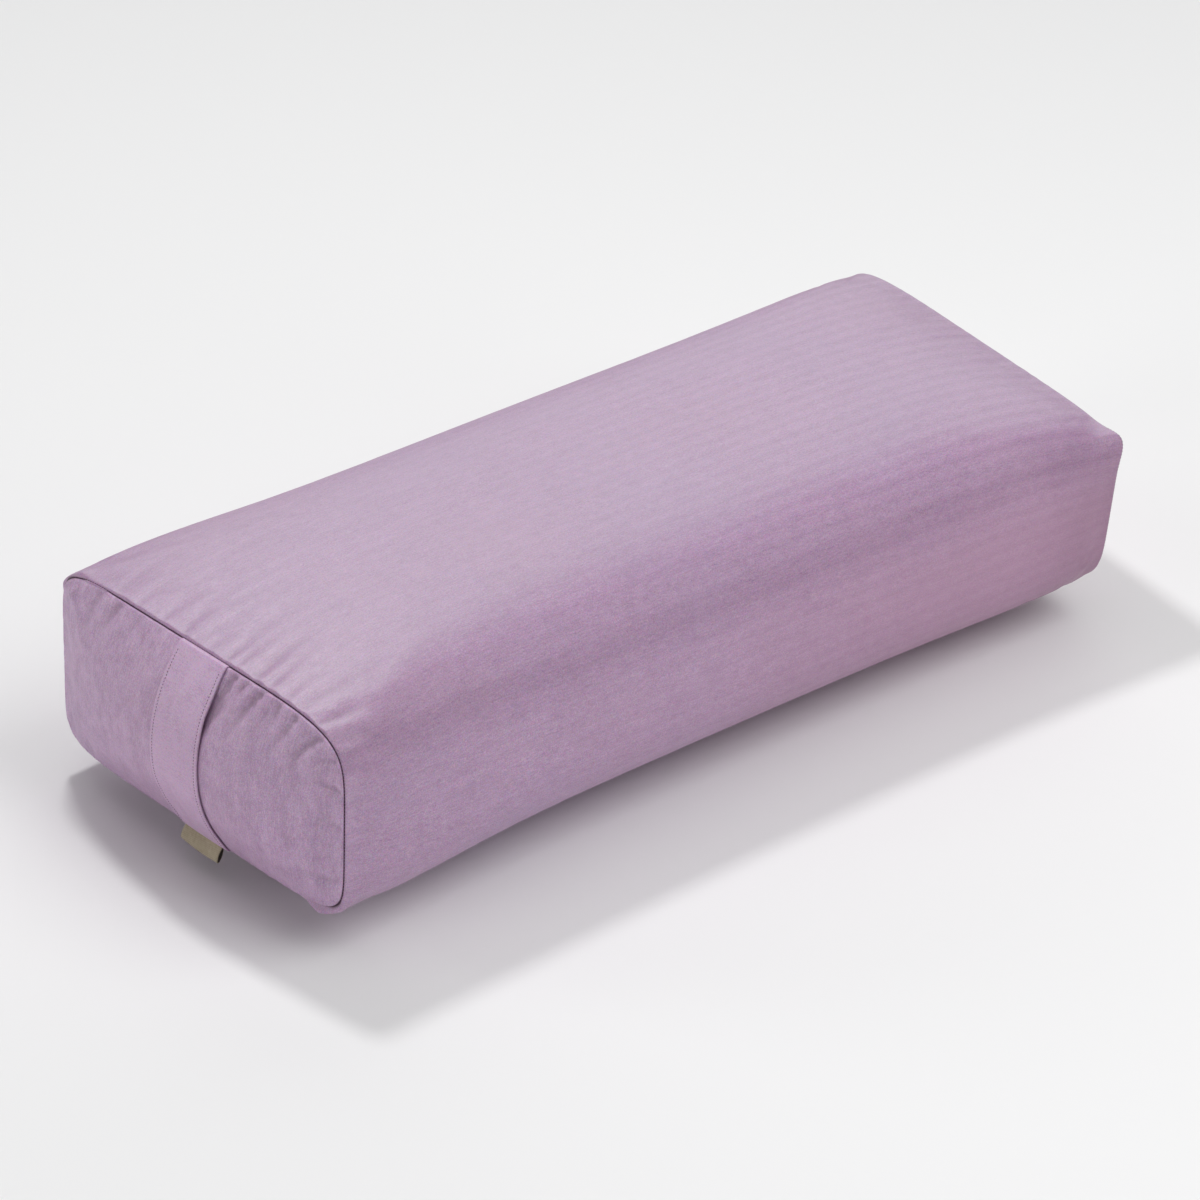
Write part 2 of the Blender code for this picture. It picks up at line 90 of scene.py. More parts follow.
back = from_angles(AZIMUTH, ELEVATION)
level_right = Vector((-back.y, back.x, 0)).normalized()
level_up = back.cross(level_right)
right = level_right * math.cos(ROLL) + level_up * math.sin(ROLL)
up = level_up * math.cos(ROLL) - level_right * math.sin(ROLL)
camera = bpy.data.objects.new("camera", bpy.data.cameras.new("camera"))
camera.data.sensor_width = SENSOR
camera.data.lens = SENSOR * FOCAL_PIXELS / FRAME_PIXELS
turned = Matrix((right, up, back)).transposed().to_4x4()
camera.matrix_world = Matrix.Translation(TARGET + back * DISTANCE) @ turned
scene.collection.objects.link(camera)
scene.camera = camera
print("camera at", [round(v, 3) for v in camera.matrix_world.translation], "lens", round(camera.data.lens, 1))

# %% [markdown]
# ## Floor and light
#
# The bolster lies on a white studio sweep. One bright lamp hangs close, above and a little behind it:
# the shadow spreads at both ends, which only a near lamp does, and its place was fitted to the
# shadow's edges. A near lamp would also burn a hot spot into the floor, so its falloff is constant, as
# a reflector makes it in a studio. Everything else is soft: a big box at the front right, and five
# wide far lamps, from straight above, low from the front and the left, and from the rear, where they
# lay a pale veil on the top. Their strengths were solved from renders under each lamp alone.

# %% Floor, lamps and world
FLOOR_RADIUS = 30.0
FLOOR_FINISH = {"Base Color": (0.86, 0.86, 0.862, 1), "Roughness": 0.9, "Specular IOR Level": 0.1}
SKY = {"Color": (1.0, 1.0, 1.0, 1), "Strength": 0.12}
KEY_PLACE = Vector((-0.090, 0.482, 1.171))
KEY_POWER = 12.8
KEY_RADIUS = 0.075
SOFTBOX_PLACE = Vector((0.80, -1.45, 2.30))
SOFTBOX_POWER = 33.0
SOFTBOX_SIZE = 2.2
# name: azimuth from -Y and elevation in degrees, strength, and how wide the lamp looks in degrees
SOFT_LAMPS = {
    "from above": (90, 90, 0.54, 50),
    "low front": (15, 12, 0.40, 40),
    "low left": (262, 13, 0.54, 25),
    "rear right": (135, 28, 0.50, 50),
    "low rear left": (222, 14, 0.50, 25),
}


def fill(node, values):
    for key, value in values.items():
        node.inputs[key].default_value = value


def add_lamp(name, kind, power, direction, place=(0, 0, 0), **settings):
    """A lamp that shines from a direction back to the bolster."""
    data = bpy.data.lights.new(name, kind)
    data.energy = power
    for key, value in settings.items():
        setattr(data, key, value)
    lamp = bpy.data.objects.new(name, data)
    lamp.location = place
    lamp.rotation_mode = "QUATERNION"
    lamp.rotation_quaternion = direction.to_track_quat("Z", "Y")
    scene.collection.objects.link(lamp)
    return data


bpy.ops.mesh.primitive_circle_add(vertices=96, radius=FLOOR_RADIUS, fill_type="NGON")
floor = bpy.context.object
floor.name = "floor"
paper = bpy.data.materials.new("white sweep")
paper.use_nodes = True
fill(paper.node_tree.nodes["Principled BSDF"], FLOOR_FINISH)
floor.data.materials.append(paper)
all_round = Vector((0, 0, 1))
key = add_lamp("near lamp behind", "POINT", KEY_POWER, all_round, KEY_PLACE, shadow_soft_size=KEY_RADIUS)
key.use_nodes = True
even = key.node_tree.nodes.new("ShaderNodeLightFalloff")
fill(even, {"Strength": 1.0})
key.node_tree.links.new(even.outputs["Constant"], key.node_tree.nodes["Emission"].inputs["Strength"])
disk = {"shape": "DISK", "size": SOFTBOX_SIZE}
add_lamp("front soft box", "AREA", SOFTBOX_POWER, SOFTBOX_PLACE, SOFTBOX_PLACE, **disk)
for name, (azimuth, elevation, strength, width) in SOFT_LAMPS.items():
    direction = from_angles(math.radians(azimuth), math.radians(elevation))
    add_lamp(name, "SUN", strength, direction, angle=math.radians(width))
scene.world = bpy.data.worlds.new("studio")
scene.world.use_nodes = True
fill(scene.world.node_tree.nodes["Background"], SKY)
scene.view_settings.view_transform = "Standard"
print("floor, two near lamps and", len(SOFT_LAMPS), "far ones")

# %% [markdown]
# ## Writing shaders as expressions
#
# A node tree is easier to read as arithmetic. The small class below wraps one output socket. Adding
# or multiplying such wires adds the Math node for it, also with a plain number in front, and one
# method adds every other kind of node from its type, its settings and what goes into its sockets.

# %% A wire class for materials
class Wire:
    """An output socket of a material that can be used in sums and products."""

    def __init__(self, tree, socket=None):
        self.tree = tree
        self.socket = socket

    def node(self, kind, settings, inputs, output=0):
        """Add a node, set it up, and fill its sockets with values or wires."""
        made = self.tree.nodes.new(kind)
        for key, value in settings.items():
            setattr(made, key, value)
        for key, value in inputs.items():
            if isinstance(value, Wire):
                self.tree.links.new(value.socket, made.inputs[key])
            else:
                made.inputs[key].default_value = value
        return Wire(self.tree, made.outputs[output])

    def math(self, operation, *values):
        return self.node("ShaderNodeMath", {"operation": operation}, dict(enumerate((self, *values))))

    def __add__(self, other):
        return self.math("ADD", other)

    def __mul__(self, other):
        return self.math("MULTIPLY", other)

    def __sub__(self, other):
        return self.math("SUBTRACT", other)

    def __rsub__(self, other):
        return (self * -1) + other

    def axis(self, number):
        """One coordinate of a vector."""
        return self.node("ShaderNodeSeparateXYZ", {}, {"Vector": self}, number)

    def mix(self, start, end, blend="MIX", share=None):
        """Colours mixed with this wire, or a fixed share, as the share of the second."""
        inputs = {"Factor": self if share is None else share, 6: start, 7: end}
        return self.node("ShaderNodeMix", {"data_type": "RGBA", "blend_type": blend}, inputs, 2)

    def band(self, low, high):
        """0 below low, 1 above high and a smooth step between."""
        inputs = {"Value": self, "From Min": low, "From Max": high}
        return self.node("ShaderNodeMapRange", {"interpolation_type": "SMOOTHSTEP"}, inputs)

    def noise(self, scale, detail=2.0, roughness=0.5, output=0, stretch=None):
        """Cloudy noise over a vector that may first be scaled along its three axes."""
        if stretch:
            vector = self.node("ShaderNodeVectorMath", {"operation": "MULTIPLY"}, {0: self, 1: stretch})
        else:
            vector = self
        inputs = {"Vector": vector, "Scale": scale, "Detail": detail, "Roughness": roughness}
        return self.node("ShaderNodeTexNoise", {}, inputs, output)

    def flat(self):
        """The flat map of a cloth, in metres."""
        return self.node("ShaderNodeUVMap", {"uv_map": "cloth"}, {})

    def place(self):
        """The point's place on its object."""
        return self.node("ShaderNodeTexCoord", {}, {}, 3)

    # the crevice value: how much painted shade a point takes
    def crevice(self):
        return self.node("ShaderNodeAttribute", {"attribute_name": "crevice"}, {}, 2)


Wire.__radd__ = Wire.__add__
Wire.__rmul__ = Wire.__mul__


def screen_colour(red, green, blue):
    """A 0 to 255 screen colour as the linear values that a shader takes."""
    values = []
    for channel in (red, green, blue):
        share = channel / 255
        values.append(share / 12.92 if share <= 0.04045 else ((share + 0.055) / 1.055) ** 2.4)
    return (*values, 1.0)


def start_material(name, roughness, metallic=0.0, sheen=0.0, specular=0.5):
    """A new material and a wire to build expressions from."""
    made = bpy.data.materials.new(name)
    made.use_nodes = True
    values = {"Roughness": roughness, "Metallic": metallic, "Specular IOR Level": specular}
    if sheen:
        values.update({"Sheen Weight": sheen, "Sheen Roughness": 0.45})
    fill(made.node_tree.nodes["Principled BSDF"], values)
    return made, Wire(made.node_tree)


def finish(made, colour, height, depth, strength=1.0, roughness=None):
    """Plug in the colour, and let a height, from 0 to 1, lean the shading by depth metres."""
    bump = height.node("ShaderNodeBump", {}, {"Height": height, "Distance": depth, "Strength": strength})
    for wire, name in ((colour, "Base Color"), (bump, "Normal"), (roughness, "Roughness")):
        if wire:
            wire.tree.links.new(wire.socket, made.node_tree.nodes["Principled BSDF"].inputs[name])
    return made


print("wire class ready")

# %% [markdown]
# ## The herringbone cotton
#
# Herringbone is a twill whose diagonal ribs turn round at regular stripes, so the cloth shows faint
# stripes along the warp. Each piece of cloth carries a flat map named "cloth", in real metres, with
# the warp along its first axis. A zigzag of the second coordinate is added to the first, and a sine of
# the sum gives ribs that turn at each stripe. Loose yarn adds fine streaks, and dye is never quite
# even. The colour also carries painted light: cloth that lies level and faces up is painted paler, as
# a painted sheen, and cloth that turns over an edge is painted deeper, as painted shade, most of all
# towards the far end, where the lower sides also take a painted rose shade. A value named crevice,
# stored with each point, paints shade into the bottom of seams and puckers.

# %% Cotton, thread and tape
STRIPE = 0.0052
RIB = 0.00095
YARN_SCALE = (160.0, 1100.0, 1.0)
SLUB_SCALE = (26.0, 420.0, 1.0)
LAVENDER = screen_colour(199, 166, 199)
LAVENDER_DEEP = screen_colour(156, 122, 157)
LAVENDER_ROSE = screen_colour(184, 146, 172)
# painted shade: a deeper rose for the lower sides towards the far end
PAINTED_ROSE_SHADE = screen_colour(172, 122, 150)
LAVENDER_BLUE = screen_colour(174, 153, 186)
TINT_SHARE = 0.14
PAINTED_ROSE_SHADE_SHARE = 0.55
# painted light: a painted sheen for cloth facing up, and a painted shade multiplied into steep cloth
PAINTED_TOP_SHEEN = screen_colour(184, 176, 186)
PAINTED_EDGE_SHADE = (0.76, 0.70, 0.74, 1.0)
# painted shade for the bottom of seams and pucker valleys and for the handle strip's edges
PAINTED_CREVICE_SHADE = screen_colour(60, 14, 44)
# painted shade for the inside of the label's folded loop
PAINTED_INSIDE_SHADE = screen_colour(58, 50, 40)


def make_cotton(name, stripe_contrast=1.0, rib_contrast=1.0, mottle_contrast=0.5, pale=0.0, painted_light_share=0.30):
    made, wire = start_material(name, roughness=0.5, sheen=0.12, specular=0.8)
    flat = wire.flat()
    place = wire.place()
    ribs = ((flat.axis(0) + flat.axis(1).math("PINGPONG", STRIPE)) * (2 * math.pi / RIB)).math("SINE")
    stripe = (flat.axis(1) * (math.pi / STRIPE)).math("SINE")
    yarn = flat.noise(1.0, 3.0, 0.6, stretch=YARN_SCALE)
    slub = flat.noise(1.0, stretch=SLUB_SCALE)
    grain = place.noise(1400.0, 2.0, 0.8)
    mottle = place.noise(85.0, 4.0, 0.62)
    dye = place.noise(11.0, 3.0)
    tint = place.noise(8.0)
    far = place.axis(0).band(-0.20, 0.30)
    depth = stripe * (far * 0.07 + 0.03) * stripe_contrast + (yarn - 0.5) * 1.1 + (slub - 0.5) * 0.35
    depth = depth + (dye - 0.5) * 0.25 + (mottle - 0.5) * mottle_contrast
    # pale lifts the whole cloth towards the paler lavender; the handle's strip uses it as painted light
    depth = depth + (grain - 0.5) * 2.2 + ribs * (0.05 * rib_contrast) + (0.5 - pale)
    flecks = place.noise(1150.0, output=1)
    tone = wire.mix(depth.mix(LAVENDER, LAVENDER_DEEP), flecks, "SOFT_LIGHT", 0.75)
    tone = (tint.band(0.46, 0.70) * TINT_SHARE).mix(tone, LAVENDER_ROSE)
    tone = ((1 - tint.band(0.30, 0.50)) * TINT_SHARE).mix(tone, LAVENDER_BLUE)
    # painted shade: the lower sides towards the far end are painted a deeper rose
    low = 1 - place.axis(2).band(0.085, 0.145)
    tone = (far * low * PAINTED_ROSE_SHADE_SHARE).mix(tone, PAINTED_ROSE_SHADE)
    # painted light by the world normal: level cloth facing up is painted paler as a painted sheen; steep
    # cloth over the shoulders and towards both ends, most at the far end, is painted deeper as painted shade
    upward = wire.node("ShaderNodeNewGeometry", {}, {}, 1).axis(2)
    steep = 1 - upward.band(0.80, 1.03)
    ends = place.axis(0).band(0.215, 0.30) * 0.95 + (1 - place.axis(0).band(-0.30, -0.16)) * 0.30
    tone = (upward.band(0.88, 1.0) * painted_light_share).mix(tone, PAINTED_TOP_SHEEN)
    painted_edge_shade_share = steep * painted_light_share * (upward.band(0.0, 0.62) * 2.5 + ends * 3.0)
    tone = painted_edge_shade_share.mix(tone, PAINTED_EDGE_SHADE, "MULTIPLY")
    # painted shade: the crevice value mixes in the dark crevice colour
    tone = wire.crevice().band(0.0, 1.0).mix(tone, PAINTED_CREVICE_SHADE)
    height = ribs * (0.10 * rib_contrast) + yarn * 0.8 + slub * 0.5 + grain * 0.5
    return finish(made, tone, height, 0.0002, 0.5, roughness=yarn * 0.16 + 0.42)


def make_thread(name, colour):
    made, wire = start_material(name, roughness=0.6, sheen=0.2)
    twist = wire.place().noise(1800.0)
    darker = tuple(0.72 * value for value in colour[:3]) + (1.0,)
    return finish(made, twist.band(0.3, 0.7).mix(darker, colour), twist, 0.00008)


def make_tape(name, pale, deep, yarn_pitch):
    """A plain woven tape: two crossing rows of yarn as sines along both flat directions."""
    made, wire = start_material(name, roughness=0.8, sheen=0.15)
    flat = wire.flat()
    turn = math.pi / yarn_pitch
    weave = (flat.axis(0) * turn).math("SINE") * (flat.axis(1) * turn).math("SINE")
    uneven = flat.noise(1.0, 3.0, stretch=(500.0, 500.0, 1.0))
    dye = flat.noise(1.0, stretch=(60.0, 60.0, 1.0))
    depth = weave * 0.22 + uneven * 0.7 + (dye - 0.5) * 0.5
    # painted shade: the crevice value paints the inside of the label's loop dark
    tone = wire.crevice().mix(depth.band(-0.1, 0.9).mix(deep, pale), PAINTED_INSIDE_SHADE)
    return finish(made, tone, weave * 0.5 + uneven, 0.00012)


COTTON = make_cotton("lavender herringbone cotton")
END_COTTON = make_cotton("lavender herringbone cotton across the ends", 0.3, 1.2, 1.3, painted_light_share=0.0)
# painted light: the strip is painted paler than the panel, for the extra light the raised strip catches
HANDLE_COTTON = make_cotton("lavender herringbone cotton strip", 0.3, 1.2, 0.95, pale=0.42, painted_light_share=0.0)
THREAD = make_thread("lavender thread", screen_colour(170, 142, 172))
# painted shade: thread lying in the seams' grooves and in the strip's stitch dips is painted darker
SHADED_THREAD = make_thread("shaded mauve thread", screen_colour(84, 46, 74))
LABEL_TAPE = make_tape("flax label tape", screen_colour(184, 172, 148), screen_colour(146, 134, 110), 0.0007)
ZIP_TAPE = make_tape("mauve zip tape", screen_colour(158, 136, 164), screen_colour(126, 104, 134), 0.0008)
print("cotton, thread and tapes:", len(bpy.data.materials), "materials so far")

# %% [markdown]
# ## The cushion's form
#
# Cut across, the stuffed cover is a rounded oblong: nearly an ellipse-and-box mixture called a
# superellipse, whose exponent says how square it is. The section is softest in the middle, where the
# filling pushes most, and squarer at the ends, where the seam holds the corners. Real cushions are
# never quite true either: this one is twisted by a couple of degrees, its far end is skewed, and the
# front corner of the near end is rounder than the rear one. The same few functions give the cover,
# the bag inside it and the wadding, each drawn in by its own amount.

# %% Section of the cushion
wrap_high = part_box("cover_wrap_panel")[1]
SEAM_X = wrap_high.x
MID_WIDTH = 2 * wrap_high.y
MID_HEIGHT = wrap_high.z - 0.0014
END_CROWN = -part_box("cover_end_panel_handle_side")[0].x - SEAM_X - 0.0012
END_WIDTH = 0.248
END_SEAM_HIGH = 0.139
END_SEAM_LOW = 0.0212
NEAR_HIGHER = 0.0012
FAR_WIDER = 0.0024
# squareness of the front top, the rear top and the underside
MID_SQUARENESS = (3.0, 3.0, 2.8)
END_SQUARENESS = {"near": (5.3, 7.5, 7.2), "far": (6.8, 6.0, 4.6)}
TAPER_POWER = 5.0
LIFT_POWER = 6.0
CROWN_POWER = 2.2
CROWN_SQUARENESS = 2.0
CORNER_FADE_POWER = 3.0
TWIST = 0.0409
TWIST_HEIGHT = 0.08
BEND = 0.0036
NEAR_SKEW = -0.0168
FAR_SKEW = 0.0549

ACROSS = 64
DOWN = 32
ALONG = 152
ROUND = 2 * (ACROSS + DOWN)


def mix(start, end, share):
    return start + (end - start) * share


def smooth(value, low, high):
    share = np.clip((value - low) / (high - low), 0, 1)
    return share * share * (3 - 2 * share)


def bell(distance, width):
    """1 at no distance, fading to nothing over a width."""
    return np.exp(-((distance / width) ** 2))


def lengths(vectors):
    return np.linalg.norm(vectors, axis=-1)


def unit(vectors):
    return vectors / (lengths(vectors)[..., None] + 1e-12)


def travelled(path):
    """How far each point of a path lies along it."""
    return np.concatenate([[0], lengths(np.diff(path, axis=0)).cumsum()])


def read_at(path, far, places):
    """Points of a path at places along it; far says where its own points lie."""
    return np.stack([np.interp(places, far, path[:, axis]) for axis in range(path.shape[1])], 1)


def signed_power(value, power):
    return np.sign(value) * np.abs(value) ** power


def section(x, side_in=0.0, top_in=0.0):
    """Half width, low and high edge, and the squareness of front top, rear top and underside."""
    side = "near" if x < 0 else "far"
    reach = min(abs(x) / SEAM_X, 1.0)
    taper = reach**TAPER_POWER
    end_half = END_WIDTH / 2 + (FAR_WIDER if side == "far" else 0.0)
    end_high = END_SEAM_HIGH + (NEAR_HIGHER if side == "near" else 0.0)
    half = mix(MID_WIDTH / 2, end_half, taper) - side_in
    high = mix(MID_HEIGHT, end_high, taper) - top_in
    low = END_SEAM_LOW * reach**LIFT_POWER + top_in
    return half, low, high, tuple(mix(a, b, taper) for a, b in zip(MID_SQUARENESS, END_SQUARENESS[side]))


def corner_power(y, upward, squareness):
    """Which exponent holds at a point of the section."""
    front, rear, under = squareness
    return np.where(upward >= 0, np.where(y < 0, front, rear), under)


def oblong_ring(x, half, low, high, squareness, samples=400):
    """ROUND evenly spaced points round an oblong, up the rear side first, then across the top."""
    middle = (low + high) / 2
    rise = (high - low) / 2
    found = []
    for quarter, cells in enumerate((DOWN, ACROSS, DOWN, ACROSS)):
        turn = math.radians(-45 + 90 * quarter) + np.linspace(0, math.pi / 2, samples)
        power = 2 / corner_power(np.cos(turn), np.sin(turn), squareness)
        y = half * signed_power(np.cos(turn), power)
        z = middle + rise * signed_power(np.sin(turn), power)
        line = np.stack([y, z], 1)
        far = travelled(line)
        found.append(read_at(line, far, np.linspace(0, far[-1], cells + 1)[:-1]))
    return np.column_stack([np.full(ROUND, x), np.concatenate(found)])


def ring(x, side_in=0.0, top_in=0.0):
    """The cushion's own oblong at a place along it."""
    return oblong_ring(x, *section(x, side_in, top_in), samples=600)


def rings(places, side_in=0.0, top_in=0.0):
    return np.stack([ring(x, side_in, top_in) for x in places])


def edges_of(seam):
    """The rear, top, front and lower edge of an end, each running upward or to the front."""
    front = seam[DOWN + ACROSS : 2 * DOWN + ACROSS + 1][::-1]
    under = np.concatenate([seam[2 * DOWN + ACROSS :], seam[:1]])[::-1]
    return seam[: DOWN + 1], seam[DOWN : DOWN + ACROSS + 1], front, under


def spanned(seam):
    """A grid of points between the four edges: rows upward, columns from the rear to the front."""
    rear, top, front, under = edges_of(seam)
    u = np.linspace(0, 1, ACROSS + 1)[None, :, None]
    v = np.linspace(0, 1, DOWN + 1)[:, None, None]
    sides = mix(rear[:, None], front[:, None], u) + mix(under[None], top[None], v)
    return sides - mix(mix(rear[0], front[0], u), mix(rear[-1], front[-1], u), v)


def face_radius(y, z, shape):
    """How far a point lies from the middle of an end, as a share of the way to its seam."""
    half, low, high, squareness = shape
    upward = (z - (low + high) / 2) / ((high - low) / 2)
    square = corner_power(y, upward, squareness)
    inner = np.zeros_like(y)
    outer = np.ones_like(y)
    for _ in range(24):
        radius = (inner + outer) / 2
        power = mix(CROWN_SQUARENESS, square, radius**CORNER_FADE_POWER)
        beyond = np.abs(y / half) ** power + np.abs(upward) ** power > radius**power
        inner = np.where(beyond, radius, inner)
        outer = np.where(beyond, outer, radius)
    return outer


def end_face(side, end_x, side_in=0.0, top_in=0.0, seam_x=None):
    """A crowned end panel whose crown starts at end_x, spanned over the section at seam_x."""
    grid = spanned(ring(side * (end_x if seam_x is None else seam_x), side_in, top_in))
    radius = face_radius(grid[..., 1], grid[..., 2], section(side * SEAM_X, side_in, top_in))
    grid[..., 0] = side * (end_x + END_CROWN * (1 - np.minimum(radius, 1) ** CROWN_POWER))
    return grid


def skew(points):
    """The twist, bend and slant of the real cushion; the zip's side and the underside keep straight."""
    x, y, z = points[..., 0], points[..., 1], points[..., 2]
    along = np.clip(x / SEAM_X, -1.1, 1.1)
    turn = TWIST * along
    turned_y = y * np.cos(turn) - (z - TWIST_HEIGHT) * np.sin(turn) + BEND * (1 - along**2)
    turned_z = TWIST_HEIGHT + y * np.sin(turn) + (z - TWIST_HEIGHT) * np.cos(turn)
    slant = np.where(along < 0, NEAR_SKEW, FAR_SKEW) * along**4
    moved = np.stack([x + slant * turned_y, turned_y, turned_z], -1)
    zip_side = smooth(y, 0.085, 0.120) * (1 - smooth(z, 0.100, 0.132))
    zip_side = zip_side * (1 - smooth(np.abs(x), 0.255, 0.300))
    result = mix(points, moved, (1 - zip_side)[..., None])
    result[..., 2] = np.maximum(result[..., 2], 0.0)
    return result


wrap_x = np.linspace(-SEAM_X, SEAM_X, ALONG + 1)
wrap_form = skew(rings(wrap_x))
near_form = skew(end_face(-1, SEAM_X))
far_form = skew(end_face(1, SEAM_X))
print("form:", wrap_form.shape, near_form.shape, "width", round(float(np.ptp(wrap_form[..., 1])), 4))

# %% [markdown]
# ## Puckers from a cloth simulation
#
# Where a seam gathers cloth, small folds stand square to it and fade out after a hand's width. They
# could be drawn by hand or by a noise texture, but a simulation places them as real cloth does. The
# whole cover becomes one closed sheet. Its seams, its underside and the strip with the zip are held,
# the cloth near the seams gets a few percent of extra length, and air pressure fills it. The large
# form is already fitted, so only the folds of the result are kept: its movement along the surface's
# normal, minus a blurred copy of that movement, and never more than a few millimetres.

# %% Cloth simulation of the cover
SLOT_LOW = 0.07025
SLOT_HIGH = 0.08175
SLOT_X = 0.246
SLOT_MIDDLE = (SLOT_LOW + SLOT_HIGH) / 2
REAR_SIDE = 0.1
HELD_BESIDE_SLOT = 0.014
HELD_FROM_SEAM = 0.04
ON_FLOOR = 0.0015
EXTRA_AT_SEAM = 0.05
EXTRA_ELSEWHERE = 0.006
EXTRA_FADES_OVER = 0.045
FOLDS_FADE_OVER = 0.055
LAST_FRAME = 20
WEIGHT_STEPS = 20
MOST_MOVEMENT = 0.006
DEEPEST_FOLD = 0.0022
HIGHEST_FOLD = 0.0030
FOLDS_KEPT = 0.75
STIFF_SEAM = 0.018
BLUR_PASSES = 60
CLOTH = {
    "quality": 5,
    "mass": 0.2,
    "tension_stiffness": 20,
    "compression_stiffness": 20,
    "shear_stiffness": 8,
    "bending_stiffness": 0.4,
    "vertex_group_mass": "held",
    "pin_stiffness": 1,
    "vertex_group_shrink": "extra",
    "shrink_min": -EXTRA_ELSEWHERE,
    "shrink_max": -EXTRA_AT_SEAM,
    "use_pressure": True,
    "uniform_pressure_force": 3.0,
}


def cells(grid):
    """The four corners of every cell of a grid, going round it."""
    return np.stack([grid[:-1, :-1], grid[:-1, 1:], grid[1:, 1:], grid[1:, :-1]], 2)


def grid_faces(rows, columns, closed=False):
    at = np.arange(rows * columns).reshape(rows, columns)
    return cells(np.concatenate([at, at[:, :1]], 1) if closed else at)


def cover_sheet():
    """Points and faces of the whole closed cover, with the places of each panel in the list."""
    wrap_at = np.arange(wrap_form[..., 0].size).reshape(-1, ROUND)
    points = [wrap_form.reshape(-1, 3)]
    faces = [grid_faces(*wrap_at.shape, closed=True).reshape(-1, 4)]
    used = wrap_at.size
    ends = []
    for form, row, turn in ((near_form, 0, 1), (far_form, -1, -1)):
        at = np.zeros(form.shape[:2], int)
        at[:, 0], at[-1], at[:, -1], at[0] = edges_of(wrap_at[row])
        inside = form[1:-1, 1:-1]
        at[1:-1, 1:-1] = used + np.arange(inside[..., 0].size).reshape(inside.shape[:2])
        used += inside[..., 0].size
        points.append(inside.reshape(-1, 3))
        faces.append(cells(at).reshape(-1, 4)[:, ::turn])
        ends.append(at)
    return np.concatenate(points), np.concatenate(faces), wrap_at, ends


def simulate_cover(points, faces, groups):
    """Blow the cover up for a few frames and return where its points end."""
    mesh = bpy.data.meshes.new("trial cover")
    mesh.from_pydata(points.tolist(), [], faces.tolist())
    trial = bpy.data.objects.new("trial_cover", mesh)
    scene.collection.objects.link(trial)
    for name, weights in groups.items():
        group = trial.vertex_groups.new(name=name)
        for step in range(1, WEIGHT_STEPS + 1):
            members = np.flatnonzero(np.round(weights * WEIGHT_STEPS) == step)
            if len(members):
                group.add(members.tolist(), step / WEIGHT_STEPS, "REPLACE")
    cloth = trial.modifiers.new("cloth", "CLOTH")
    for key, value in CLOTH.items():
        setattr(cloth.settings, key, value)
    cloth.settings.effector_weights.gravity = 0
    cloth.collision_settings.use_collision = False
    cloth.point_cache.frame_start = 1
    cloth.point_cache.frame_end = LAST_FRAME
    for step in range(1, LAST_FRAME + 1):
        scene.frame_set(step)
    evaluated = trial.evaluated_get(bpy.context.evaluated_depsgraph_get())
    moved = np.zeros(len(points) * 3, np.float32)
    evaluated.data.vertices.foreach_get("co", moved)
    bpy.data.objects.remove(trial)
    scene.frame_set(1)
    return moved.reshape(-1, 3).astype(float)


def grid_normals(grid, closed=False):
    """Unit normals of a grid of points; closed grids wrap round their columns."""
    if closed:
        around = np.roll(grid, -1, axis=1) - np.roll(grid, 1, axis=1)
    else:
        around = np.gradient(grid, axis=1)
    return unit(np.cross(around, np.gradient(grid, axis=0)))


def blurred(values, closed):
    """Values averaged with their neighbours again and again."""
    for _ in range(BLUR_PASSES):
        padded = np.pad(values, ((1, 1), (0, 0)), mode="edge")
        values = (padded[:-2] + 2 * values + padded[2:]) / 4
        padded = np.pad(values, ((0, 0), (1, 1)), mode="wrap" if closed else "edge")
        values = (padded[:, :-2] + 2 * values + padded[:, 2:]) / 4
    return values


def folds_only(form, moved, share, closed=False, outward=1):
    """The part of a movement that is folds: along the normal, without its slow swell."""
    normal = grid_normals(form, closed) * outward
    movement = np.clip(((moved - form) * normal).sum(-1), -MOST_MOVEMENT, MOST_MOVEMENT)
    folds = np.clip(movement - blurred(movement, closed), -DEEPEST_FOLD, HIGHEST_FOLD)
    return (folds * share)[..., None] * normal


def pucker_cover():
    """Where the extra cloth at the seams goes: displacements of the wrap and of both ends."""
    points, faces, wrap_at, ends = cover_sheet()
    to_seam = SEAM_X - np.abs(points[:, 0])
    held = (points[:, 1] > REAR_SIDE) & (np.abs(points[:, 2] - SLOT_MIDDLE) < HELD_BESIDE_SLOT)
    held = held & (np.abs(to_seam) > HELD_FROM_SEAM) | (points[:, 2] < ON_FLOOR)
    held[wrap_at[[0, -1]]] = True
    extra = np.exp(-np.maximum(to_seam, 0) / EXTRA_FADES_OVER)
    row, column = np.indices((DOWN + 1, ACROSS + 1))
    from_seam = np.minimum.reduce([row, DOWN - row, column, ACROSS - column]) * (END_WIDTH / ACROSS)
    for at in ends:
        extra[at] = np.exp(-from_seam / (0.6 * EXTRA_FADES_OVER))
    moved = simulate_cover(points, faces, {"held": held, "extra": extra})
    row_gap = np.maximum(SEAM_X - np.abs(wrap_x), 0)[:, None]
    share = FOLDS_KEPT * (0.1 + 0.9 * np.exp(-row_gap / FOLDS_FADE_OVER)) * smooth(row_gap, 0, STIFF_SEAM)
    end_share = FOLDS_KEPT * smooth(from_seam, 0, STIFF_SEAM)
    return (
        folds_only(wrap_form, moved[wrap_at], share, closed=True),
        folds_only(near_form, moved[ends[0]], end_share),
        folds_only(far_form, moved[ends[1]], end_share, outward=-1),
    )


wrap_folds, near_folds, far_folds = pucker_cover()
print("deepest fold, mm:", round(float(np.abs(wrap_folds).max()) * 1000, 2))

